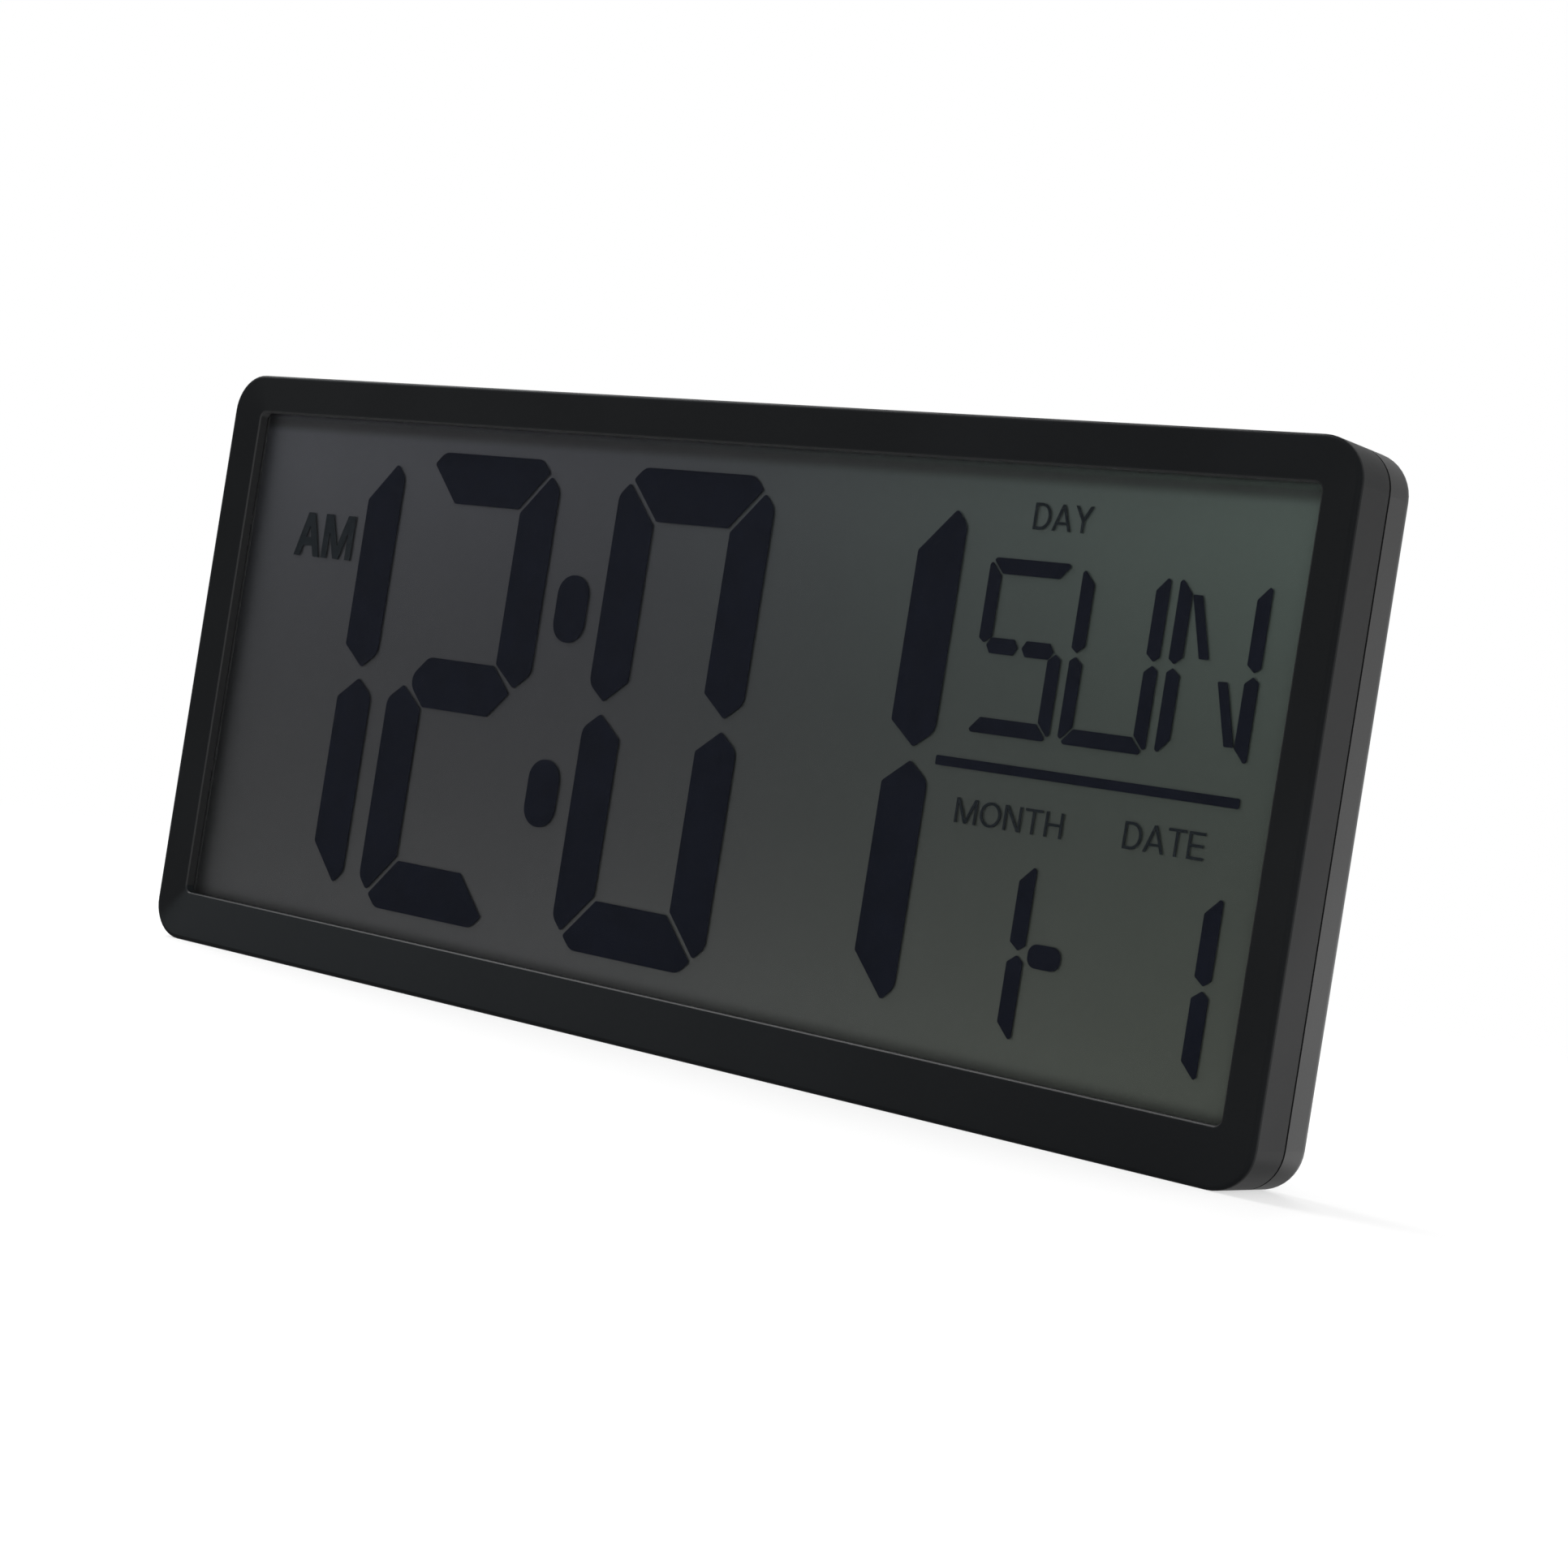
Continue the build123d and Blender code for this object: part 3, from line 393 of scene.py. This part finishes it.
# Plated and bare metals
metalMix = {"detail": 3, "cloudTone": 0.6, "fineTone": 0.4, "depth": 0.02}
metalLooks = {
    "screw_steel": {"deep": (0.36, 0.36, 0.37), "pale": (0.56, 0.56, 0.57), "rough": 0.34, "span": 0.16,
                    "cloud": 420, "fine": 2600, "bump": 0.1},
    "contact_nickel": {"deep": (0.55, 0.53, 0.49), "pale": (0.70, 0.68, 0.63), "rough": 0.26, "span": 0.14,
                       "cloud": 180, "fine": 1800, "bump": 0.06},
    "crystal_can": {"deep": (0.50, 0.50, 0.50), "pale": (0.66, 0.66, 0.65), "rough": 0.22, "span": 0.12,
                    "cloud": 300, "fine": 2200, "bump": 0.05},
}


def platedMetal(name, look, mix):
    material, sheet = newFinish(name)
    place = sheet.place()
    cloud = sheet.noise(place, look["cloud"], mix["detail"]).fade(*softNoise)
    fine = sheet.noise(place, look["fine"])
    colour = sheet.tint(cloud * mix["cloudTone"] + fine * mix["fineTone"], look["deep"], look["pale"])
    rough = cloud * look["span"] + fine * look["span"] + (look["rough"] - look["span"])
    normal = sheet.bump(fine, look["bump"], mix["depth"])
    shader = sheet.surface(Base_Color=colour, Metallic=1.0, Roughness=rough, Normal=normal)
    return closeFinish(material, sheet, shader)


# Display: mirror-like ground, dark strokes, and the clear film and glass in front of them
groundLook = {
    "coolLow": fromScreen(74.5, 75.3, 76.5), "coolHigh": fromScreen(71.1, 72.4, 77.1),  # left
    "greenLow": fromScreen(81.0, 86.0, 79.4), "greenHigh": fromScreen(79.6, 90.3, 85.4),  # right
    "turn": -60, "reach": 187,
    "halfWide": 170, "halfHigh": 70, "peak": 1.8,  # painted reflection: brightness over the display
    "bow": 0.41, "slope": -0.04, "side": -0.03, "twist": -0.08, "ends": 0.07, "topEnds": 0.26,
    "cloud": 45, "cloudDetail": 4, "cloudShare": 0.7, "grain": 700, "grainShare": 0.3,
    "mottle": 0.06, "mottleFrom": 0.2, "mottleTo": 0.8,
    "rough": 0.45, "span": 0.08, "mirror": 0.8, "bump": 0.05, "depth": 0.02,
    "shade": (0.03, 0.03, 0.03),  # under the lips of the window
    "shadowTop": 69.9, "shadowEnd": 66.9, "shadow": 0.68, "easeFrom": 70.4, "easeTo": 72.0, "ease": 0.4,
    "lowTop": -68.2, "lowEnd": -65.4, "lowShadow": 0.42,
}
strokeLook = {"deep": (0.0029, 0.0039, 0.0088), "pale": (0.0039, 0.0051, 0.0110),
              "rough": 0.6, "span": 0.2, "gloss": 0.05, "cloud": 120, "detail": 3}
wordLook = {**strokeLook, "deep": (0.0080, 0.0110, 0.0140), "pale": (0.0110, 0.0140, 0.0170)}
filmLook = {"colour": (0.022, 0.024, 0.023), "alpha": 0.06, "rough": 0.4, "span": 0.12, "gloss": 0.3,
            "frost": 3000, "bump": 0.04, "depth": 0.01}
glassLook = {**filmLook, "alpha": 0.05}


def displayGround(look):
    material, sheet = newFinish("displayGround")
    place = sheet.place()
    x, _, z = sheet.axes(place)
    u = x * (1 / (look["halfWide"] * mm))
    v = z * (1 / (look["halfHigh"] * mm))
    # painted reflection: the ground lighter towards the top and bottom, and towards the ends near the top
    level = v * (v * look["bow"] + look["slope"]) + u * (v * look["twist"] + look["side"])
    level = level + u * u * (v * look["topEnds"] + look["ends"]) + 1
    across = x.fade(look["turn"] * mm, look["reach"] * mm)
    up = z.fade(-look["halfHigh"] * mm, look["halfHigh"] * mm)
    bright = {tone: tuple(value * look["peak"] for value in look[tone])
              for tone in ("coolLow", "coolHigh", "greenLow", "greenHigh")}
    cool = sheet.tint(up, bright["coolLow"], bright["coolHigh"])
    green = sheet.tint(up, bright["greenLow"], bright["greenHigh"])
    tone = sheet.tint(level * (1 / look["peak"]), (0, 0, 0), sheet.tint(across, cool, green))
    cloud = sheet.noise(place, look["cloud"], look["cloudDetail"])
    grain = sheet.noise(place, look["grain"])
    mottle = cloud * look["cloudShare"] + grain * look["grainShare"]
    mottle = mottle.fade(look["mottleFrom"], look["mottleTo"])
    under = z.fade(look["shadowEnd"] * mm, look["shadowTop"] * mm) * look["shadow"]
    under = under - z.fade(look["easeFrom"] * mm, look["easeTo"] * mm) * look["ease"]
    above = (1 - z.fade(look["lowTop"] * mm, look["lowEnd"] * mm)) * look["lowShadow"]
    colour = sheet.tint(mottle * look["mottle"] + under + above, tone, look["shade"])
    rough = grain * look["span"] + (look["rough"] - look["span"] / 2)
    normal = sheet.bump(grain, look["bump"], look["depth"])
    shader = sheet.surface(Base_Color=colour, Metallic=look["mirror"], Roughness=rough, Normal=normal)
    return closeFinish(material, sheet, shader)


def displayStroke(name, look):
    material, sheet = newFinish(name)
    cloud = sheet.noise(sheet.place(), look["cloud"], look["detail"])
    colour = sheet.tint(cloud.fade(*softNoise), look["deep"], look["pale"])
    rough = cloud * look["span"] + (look["rough"] - look["span"] / 2)
    shader = sheet.surface(Base_Color=colour, Roughness=rough, Specular_IOR_Level=look["gloss"])
    return closeFinish(material, sheet, shader)


def displayFilm(name, look):
    material, sheet = newFinish(name)
    frost = sheet.noise(sheet.place(), look["frost"])
    rough = frost * look["span"] + (look["rough"] - look["span"] / 2)
    normal = sheet.bump(frost, look["bump"], look["depth"])
    shader = sheet.surface(Base_Color=paint(look["colour"]), Alpha=look["alpha"], Roughness=rough,
                           Specular_IOR_Level=look["gloss"], Normal=normal)
    return closeFinish(material, sheet, shader)


# Parts with a pattern of their own
boardLook = {"mask": (0.012, 0.085, 0.030), "track": (0.025, 0.150, 0.055), "scale": 400, "gap": 0.09,
             "blur": 0.2, "run": 5.0, "row": 0.6, "stagger": 0.35, "weave": 1600, "weaveBump": 0.2,
             "rough": 0.25, "span": 0.15, "bump": 0.3, "depth": 0.04}
zebraLook = {"dark": (0.012, 0.012, 0.012), "pale": (0.42, 0.42, 0.40), "pitch": 0.36, "edge": 0.2,
             "dustAndSheen": 1500, "rough": 0.5, "span": 0.2}
cellLook = {"jacket": (0.16, 0.17, 0.18), "band": (0.045, 0.16, 0.075), "metal": (0.60, 0.60, 0.58),
            "jacketEnd": 24.4, "bandEnd": 12.05, "blur": 0.05, "middle": 38.0, "middleBlur": 0.2,
            "scuff": 500, "detail": 3, "rough": 0.24, "span": 0.14, "bump": 0.05, "depth": 0.05}
capacitorLook = {"body": (0.34, 0.22, 0.12), "speck": (0.1, 0.07, 0.04), "cap": (0.60, 0.60, 0.58),
                 "capFrom": 0.5, "capFull": 0.45, "specks": 4000, "share": 0.3, "rough": 0.35, "span": 0.2}


def boardLaminate(look):
    material, sheet = newFinish("boardLaminate")
    place = sheet.place()
    x, _, z = sheet.axes(place)
    flat = sheet.add("ShaderNodeCombineXYZ", None, {"X": x, "Y": z})
    tracks = sheet.add("ShaderNodeTexBrick", {"offset": look["stagger"]}, {
        "Vector": flat, "Scale": look["scale"], "Mortar Size": look["gap"], "Mortar Smooth": look["blur"],
        "Brick Width": look["run"], "Row Height": look["row"],
    }, "Fac")
    weave = sheet.noise(place, look["weave"])
    colour = sheet.tint(tracks, look["mask"], look["track"])
    normal = sheet.bump(tracks + weave * look["weaveBump"], look["bump"], look["depth"])
    shader = sheet.surface(Base_Color=colour, Roughness=weave * look["span"] + look["rough"], Normal=normal)
    return closeFinish(material, sheet, shader)


def zebraRubber(look):
    material, sheet = newFinish("zebraRubber")
    place = sheet.place()
    x, _, _ = sheet.axes(place)
    half = look["pitch"] / 2 * mm
    stripe = x.maths("PINGPONG", half).fade(look["edge"] * half, (1 - look["edge"]) * half)
    dustAndSheen = sheet.noise(place, look["dustAndSheen"])
    colour = sheet.tint(stripe, look["dark"], look["pale"])
    shader = sheet.surface(Base_Color=colour, Roughness=dustAndSheen * look["span"] + look["rough"])
    return closeFinish(material, sheet, shader)


def cellJacket(look):
    material, sheet = newFinish("cellJacket")
    place = sheet.place()
    x, _, z = sheet.axes(place)
    bare = abs(x).edge(look["jacketEnd"], look["blur"])
    turned = z.edge(look["middle"], look["middleBlur"]).between(-1, 1)  # the upper cell lies turned round
    band = (x * turned).edge(look["bandEnd"], look["blur"])
    scuff = sheet.noise(place, look["scuff"], look["detail"])
    colour = sheet.tint(bare, sheet.tint(band, look["jacket"], look["band"]), look["metal"])
    rough = scuff * look["span"] + look["rough"]
    normal = sheet.bump(scuff, look["bump"], look["depth"])
    shader = sheet.surface(Base_Color=colour, Metallic=bare, Roughness=rough, Normal=normal)
    return closeFinish(material, sheet, shader)


def capacitorBody(look):
    material, sheet = newFinish("capacitorBody")
    place = sheet.place()
    _, _, z = sheet.axes(place)
    low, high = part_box("capacitors")
    middle, end = (low.z + high.z) / 2, (high.z - low.z) / 2
    cap = abs(z - middle).fade(end - look["capFrom"] * mm, end - look["capFull"] * mm)
    speck = sheet.noise(place, look["specks"])
    body = sheet.tint(speck * look["share"], look["body"], look["speck"])
    colour = sheet.tint(cap, body, look["cap"])
    shader = sheet.surface(Base_Color=colour, Metallic=cap, Roughness=speck * look["span"] + look["rough"])
    return closeFinish(material, sheet, shader)


finishes = {slot: mouldedPlastic(slot, look, plasticMix) for slot, look in plasticLooks.items()}
finishes.update({slot: platedMetal(slot, look, metalMix) for slot, look in metalLooks.items()})
finishes.update({
    "reflector_foil": displayGround(groundLook),
    "lcd_dark": displayStroke("displayStroke", strokeLook),
    "displayWord": displayStroke("displayWord", wordLook),
    "polarizer_film": displayFilm("polarizerFilm", filmLook),
    "lcd_glass": displayFilm("displayGlass", glassLook),
    "board_laminate": boardLaminate(boardLook),
    "zebra_rubber": zebraRubber(zebraLook),
    "cell_jacket": cellJacket(cellLook),
    "capacitor_ceramic": capacitorBody(capacitorLook),
})
ownFinish = {"front_frame": "caseFront", "rear_cover": "caseRear"}  # same plastic, other moulds
for subpart in frame["record"]["subparts"]:
    meshOfNode = frame["nodes"][subpart["node"]].data
    for index in range(len(meshOfNode.materials)):
        meshOfNode.materials[index] = finishes[ownFinish.get(subpart["node"], subpart["material_slot"])]


def addPiece(name, mesh, body, slot, *nodes):
    piece = bpy.data.objects.new(name, mesh)
    scene.collection.objects.link(piece)
    if not mesh.materials:
        mesh.materials.append(finishes[slot])
    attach(piece, body)
    if nodes:
        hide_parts(*nodes)


def ringStack(name, rings):  # closed block lofted through level rings of points, front ring first
    mesh = bpy.data.meshes.new(name)
    count = len(rings[0])
    points = [point for ring in rings for point in ring]
    faces = [tuple(range(count)), tuple(reversed(range(len(points) - count, len(points))))]
    for level in range(len(rings) - 1):
        for step in range(count):
            here = level * count + step
            after = level * count + (step + 1) % count
            faces.append((after, here, here + count, after + count))
    mesh.from_pydata(points, [], faces)
    mesh.update()
    return mesh


def sheetRing(low, high, inset, corner, y, steps=6):  # rounded rectangle seen from the front
    ring = []
    radius = corner * mm
    inward = (inset + corner) * mm
    right, left = high.x - inward, low.x + inward
    top, bottom = high.z - inward, low.z + inward
    for turn, (x, z) in enumerate(((right, bottom), (right, top), (left, top), (left, bottom))):
        for step in range(steps + 1):
            angle = math.radians(-90 + 90 * turn + 90 * step / steps)
            ring.append((x + radius * math.cos(angle), y, z + radius * math.sin(angle)))
    return ring


# Display cell in two pieces: film and glass in front of the strokes, glass and mirror foil behind them
cellPlan = {"corner": 0.6, "edge": 0.08, "step": 0.01, "frontGap": 0.05, "apparentGap": 0.3}


def makeDisplayCell(plan):
    filmLow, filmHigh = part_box("lcd_front_polarizer")
    glassLow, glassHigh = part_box("lcd_front_glass")
    foilLow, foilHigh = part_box("lcd_reflector")
    strokeLow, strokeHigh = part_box("time_segments")
    edge, corner = plan["edge"], plan["corner"]
    front = ringStack("displayWindow", [
        sheetRing(filmLow, filmHigh, edge, corner, filmLow.y),
        sheetRing(filmLow, filmHigh, 0, corner, filmLow.y + edge * mm),
        sheetRing(filmLow, filmHigh, 0, corner, filmHigh.y - plan["step"] * mm),
        sheetRing(glassLow, glassHigh, 0, corner, filmHigh.y),
        sheetRing(glassLow, glassHigh, 0, corner, strokeLow.y - plan["frontGap"] * mm),
    ])
    addPiece("displayWindow", front, "clock_case", "polarizer_film",
             "lcd_front_polarizer", "lcd_front_glass")
    groundY = strokeHigh.y + plan["apparentGap"] * mm  # glass makes the foil look nearer than it is
    ground = ringStack("displayBack", [
        sheetRing(foilLow, foilHigh, edge, corner, groundY),
        sheetRing(foilLow, foilHigh, 0, corner, groundY + edge * mm),
        sheetRing(foilLow, foilHigh, 0, corner, foilHigh.y),
    ])
    addPiece("displayBack", ground, "clock_case", "reflector_foil",
             "lcd_rear_glass", "lcd_reflector")


makeDisplayCell(cellPlan)
print("display cell made")


# Words on the display: letters drawn as closed loops one unit high, then fitted to the word's own box
readoutWords = {
    "amMark": {
        "text": "AM", "across": (-153.75, -130.2), "up": (32.25, 44.75), "thick": 0.22, "gap": 0.09,
    },
    "dayWord": {
        "text": "DAY", "across": (97.6, 113.6), "up": (57.25, 63.5), "thick": 0.11, "gap": 0.13,
    },
    "monthWord": {
        "text": "MONTH", "across": (88.6, 118.6), "up": (-13.0, -7.1), "thick": 0.11, "gap": 0.17,
    },
    "dateWord": {
        "text": "DATE", "across": (135.1, 156.1), "up": (-12.75, -6.5), "thick": 0.11, "gap": 0.13,
    },
}


def ovalArc(centreX, radiusX, radiusZ, start, end, steps=20):  # round the middle of the letter's height
    angles = [math.radians(start + (end - start) * step / steps) for step in range(steps + 1)]
    return [(centreX + radiusX * math.cos(angle), 0.5 + radiusZ * math.sin(angle)) for angle in angles]


def letterLoops(letter, t):  # width and loops of one letter with limbs t thick
    flat = 1.3 * t  # flat end of a slanted limb
    up, down = 0.5 + t / 2, 0.5 - t / 2  # edges of a middle bar
    if letter == "A":
        w = 0.82 + 0.95 * t
        foot, lean, bar = 1.1 * t, w / 2 - 0.55 * t, 0.24
        top = bar + 0.9 * t
        outer = [(0, 0), (lean, 1), (w - lean, 1), (w, 0), (w - foot, 0), (w - foot - lean * bar, bar),
                 (foot + lean * bar, bar), (foot, 0)]
        inner = [(foot + lean * top, top), (w - foot - lean * top, top), (w / 2, (w / 2 - foot) / lean)]
        return w, [outer, inner]
    if letter == "D":
        w, bend = 0.82, 0.36
        outer = [(0, 0), *ovalArc(bend, w - bend, 0.5, -90, 90), (0, 1)]
        inner = [(t, t), *ovalArc(bend, w - bend - t, 0.5 - t, -90, 90), (t, 1 - t)]
        return w, [outer, inner]
    if letter == "E":
        w = 0.74
        middleArm, topArm = 0.92 * w, 0.97 * w
        return w, [[(0, 0), (w, 0), (w, t), (t, t), (t, down), (middleArm, down), (middleArm, up), (t, up),
                    (t, 1 - t), (topArm, 1 - t), (topArm, 1), (0, 1)]]
    if letter == "H":
        w = 0.8
        return w, [[(0, 0), (t, 0), (t, down), (w - t, down), (w - t, 0), (w, 0), (w, 1), (w - t, 1),
                    (w - t, up), (t, up), (t, 1), (0, 1)]]
    if letter == "M":
        w, crotch = 0.86 + 1.5 * t, 0.98 - 1.7 * t
        notch = 1 - crotch / (w / 2 - 1.5 * t) * (w / 2 - flat)
        return w, [[(0, 0), (0, 1), (flat, 1), (w / 2, notch), (w - flat, 1), (w, 1), (w, 0), (w - t, 0),
                    (w - t, crotch), (w / 2 + t / 2, 0), (w / 2 - t / 2, 0), (t, crotch), (t, 0)]]
    if letter == "N":
        w = 0.8
        step = 0.9 * t / (w - t - flat + 0.9 * t)
        return w, [[(0, 0), (0, 1), (flat, 1), (w - t, step), (w - t, 1), (w, 1), (w, 0), (w - flat, 0),
                    (t, 1 - step), (t, 0)]]
    if letter == "O":
        w = 0.98
        lastTurn, turns = 351, 39  # the loop closes with the fortieth
        outer = ovalArc(w / 2, w / 2, 0.5, 0, lastTurn, turns)
        return w, [outer, ovalArc(w / 2, w / 2 - t, 0.5 - 0.95 * t, 0, lastTurn, turns)]
    if letter == "T":
        w = 0.8
        left, right = w / 2 - t / 2, w / 2 + t / 2
        return w, [[(0, 1 - t), (0, 1), (w, 1), (w, 1 - t), (right, 1 - t), (right, 0), (left, 0),
                    (left, 1 - t)]]
    w, fork = 0.88, 0.42  # Y
    left, right = w / 2 - t / 2, w / 2 + t / 2
    notch = 1 - (1 - fork) / (w / 2 - t / 2) * (w / 2 - flat)
    return w, [[(0, 1), (flat, 1), (w / 2, notch), (w - flat, 1), (w, 1), (right, fork), (right, 0),
                (left, 0), (left, fork)]]


def drawnWord(name, word):
    lines = bpy.data.curves.new(name, "CURVE")
    lines.dimensions = "2D"
    lines.fill_mode = "BOTH"
    start = 0
    for letter in word["text"]:
        width, loops = letterLoops(letter, word["thick"])
        for loop in loops:
            spline = lines.splines.new("POLY")
            spline.points.add(len(loop) - 1)
            for point, (x, z) in zip(spline.points, loop):
                point.co = (start + x, z, 0, 1)
            spline.use_cyclic_u = True
        start += width + word["gap"]
    return solidMesh(name, lines)


flatShapes = {"depth": 0.05, "mergeGap": 1e-5}  # in letter heights; fitMesh gives the real depth


def solidMesh(name, flatShape):  # a text or a flat curve, thickened and made one closed mesh
    flatShape.extrude = flatShapes["depth"]
    holder = bpy.data.objects.new(name + "Shape", flatShape)
    scene.collection.objects.link(holder)
    mesh = evaluatedMesh(holder)
    bpy.data.objects.remove(holder)
    mesh.materials.clear()
    mesh.name = name
    shape = bmesh.new()
    shape.from_mesh(mesh)
    bmesh.ops.remove_doubles(shape, verts=shape.verts, dist=flatShapes["mergeGap"])
    bmesh.ops.recalc_face_normals(shape, faces=shape.faces)
    shape.to_mesh(mesh)
    shape.free()
    return mesh


def evaluatedMesh(holder):
    bpy.context.view_layer.update()
    return bpy.data.meshes.new_from_object(holder.evaluated_get(bpy.context.evaluated_depsgraph_get()))


def fitMesh(mesh, sizes, middle, facing):  # scaled to its size in mm, turned, and set in place
    spans = []
    for axis in range(3):
        values = [vertex.co[axis] for vertex in mesh.vertices]
        spans.append((min(values), max(values)))
    for vertex in mesh.vertices:
        for axis, size in enumerate(sizes):
            low, high = spans[axis]
            vertex.co[axis] = ((vertex.co[axis] - low) / (high - low) - 0.5) * size * mm
    mesh.transform(Matrix.Translation(middle) @ facing)


facingFront = Matrix(((1, 0, 0), (0, 0, -1), (0, 1, 0))).to_4x4()
facingBack = Matrix(((-1, 0, 0), (0, 0, 1), (0, 1, 0))).to_4x4()


def makeWord(name, word):
    mesh = drawnWord(name, word)
    strokeLow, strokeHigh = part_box("time_segments")
    (left, right), (low, high) = word["across"], word["up"]
    middle = Vector((left + right, 0, low + high)) / 2 * mm
    middle.y = (strokeLow.y + strokeHigh.y) / 2
    fitMesh(mesh, (right - left, high - low, (strokeHigh.y - strokeLow.y) / mm), middle, facingFront)
    mesh.materials.append(finishes["displayWord"])
    addPiece(name, mesh, "clock_case", "lcd_dark")


for wordName, word in readoutWords.items():
    makeWord(wordName, word)
print("display words:", len(readoutWords))


# Painted legends over the four keys, on the floor of their pocket
keyLegends = {
    "setLegend": {"text": "SET", "over": "set_button", "width": 7.0, "height": 2.8},
    "plusLegend": {"text": "+", "over": "plus_button", "width": 3.0, "height": 3.0},
    "minusLegend": {"text": "-", "over": "minus_button", "width": 3.0, "height": 0.8},
    "hourLegend": {"text": "12/24", "over": "hour_mode_button", "width": 10.0, "height": 2.8},
}
legendPlan = {"floor": -2.5, "proud": 0.25, "sunk": 0.1, "rise": 7.6}


def makeLegend(name, legend, plan):
    lettering = bpy.data.curves.new(name, "FONT")
    lettering.body = legend["text"]
    mesh = solidMesh(name, lettering)
    low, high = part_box(legend["over"])
    middle = (low + high) / 2 + Vector((0, 0, plan["rise"] * mm))
    middle.y = (plan["floor"] + (plan["proud"] - plan["sunk"]) / 2) * mm
    fitMesh(mesh, (legend["width"], legend["height"], plan["proud"] + plan["sunk"]), middle, facingBack)
    mesh.materials.append(finishes["legendPaint"])
    addPiece(name, mesh, "clock_case", "button_grey")


for legendName, legend in keyLegends.items():
    makeLegend(legendName, legend, legendPlan)
print("key legends:", len(keyLegends))


# Grip ribs across the free end of the foot
footRibs = {"Count": 27, "Pitch": 3.0, "Length": 6.5, "Width": 1.2, "Height": 0.25,
            "low": -78.9, "sides": 16}


def ribTree(material, sides):
    tree = bpy.data.node_groups.new("gripRibs", "GeometryNodeTree")
    sheet = NodeSheet(tree)
    tree.interface.new_socket("Count", in_out="INPUT", socket_type="NodeSocketInt")
    for size in ("Pitch", "Length", "Width", "Height"):
        tree.interface.new_socket(size, in_out="INPUT", socket_type="NodeSocketFloat")
    tree.interface.new_socket("Geometry", in_out="OUTPUT", socket_type="NodeSocketGeometry")
    count = sheet.add("NodeGroupInput")
    pitch, length, width, height = (count.other(size) for size in ("Pitch", "Length", "Width", "Height"))
    radius = width * 0.5
    along = sheet.add("ShaderNodeCombineXYZ", None, {"Z": length})
    path = sheet.add("GeometryNodeCurvePrimitiveLine", None, {"End": along})
    ring = sheet.add("GeometryNodeCurvePrimitiveCircle", None, {"Resolution": sides, "Radius": radius})
    sweep = {"Curve": path, "Profile Curve": ring, "Fill Caps": True}
    bar = sheet.add("GeometryNodeCurveToMesh", None, sweep)
    squeeze = height.maths("DIVIDE", radius)
    flat = sheet.add("ShaderNodeCombineXYZ", None, {"X": 1.0, "Y": squeeze, "Z": 1.0})
    rib = sheet.add("GeometryNodeTransform", None, {"Geometry": bar, "Scale": flat})
    first = sheet.add("ShaderNodeCombineXYZ", None, {"X": (count - 1) * pitch * -0.5})
    step = sheet.add("ShaderNodeCombineXYZ", None, {"X": pitch})
    row = sheet.add("GeometryNodeMeshLine", None, {"Count": count, "Start Location": first, "Offset": step})
    spread = sheet.add("GeometryNodeInstanceOnPoints", None, {"Points": row, "Instance": rib})
    solid = sheet.add("GeometryNodeRealizeInstances", None, {"Geometry": spread})
    painted = sheet.add("GeometryNodeSetMaterial", None, {"Geometry": solid, "Material": material})
    sheet.add("NodeGroupOutput", None, {"Geometry": painted})
    return tree


def makeFootRibs(plan):
    holder = bpy.data.objects.new("footRibsShape", bpy.data.meshes.new("footRibsShape"))
    scene.collection.objects.link(holder)
    modifier = holder.modifiers.new("gripRibs", "NODES")
    modifier.node_group = ribTree(finishes["case_black"], plan["sides"])
    for item in modifier.node_group.interface.items_tree:
        if item.in_out == "INPUT":
            modifier[item.identifier] = plan[item.name] * (1 if item.name == "Count" else mm)
    mesh = evaluatedMesh(holder)
    holder.modifiers.remove(modifier)
    bpy.data.objects.remove(holder)
    low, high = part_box("stand_foot")
    mesh.transform(Matrix.Translation(((low.x + high.x) / 2, high.y, plan["low"] * mm)))
    addPiece("footRibs", mesh, "stand", "case_black")


makeFootRibs(footRibs)
print("foot ribs:", footRibs["Count"])
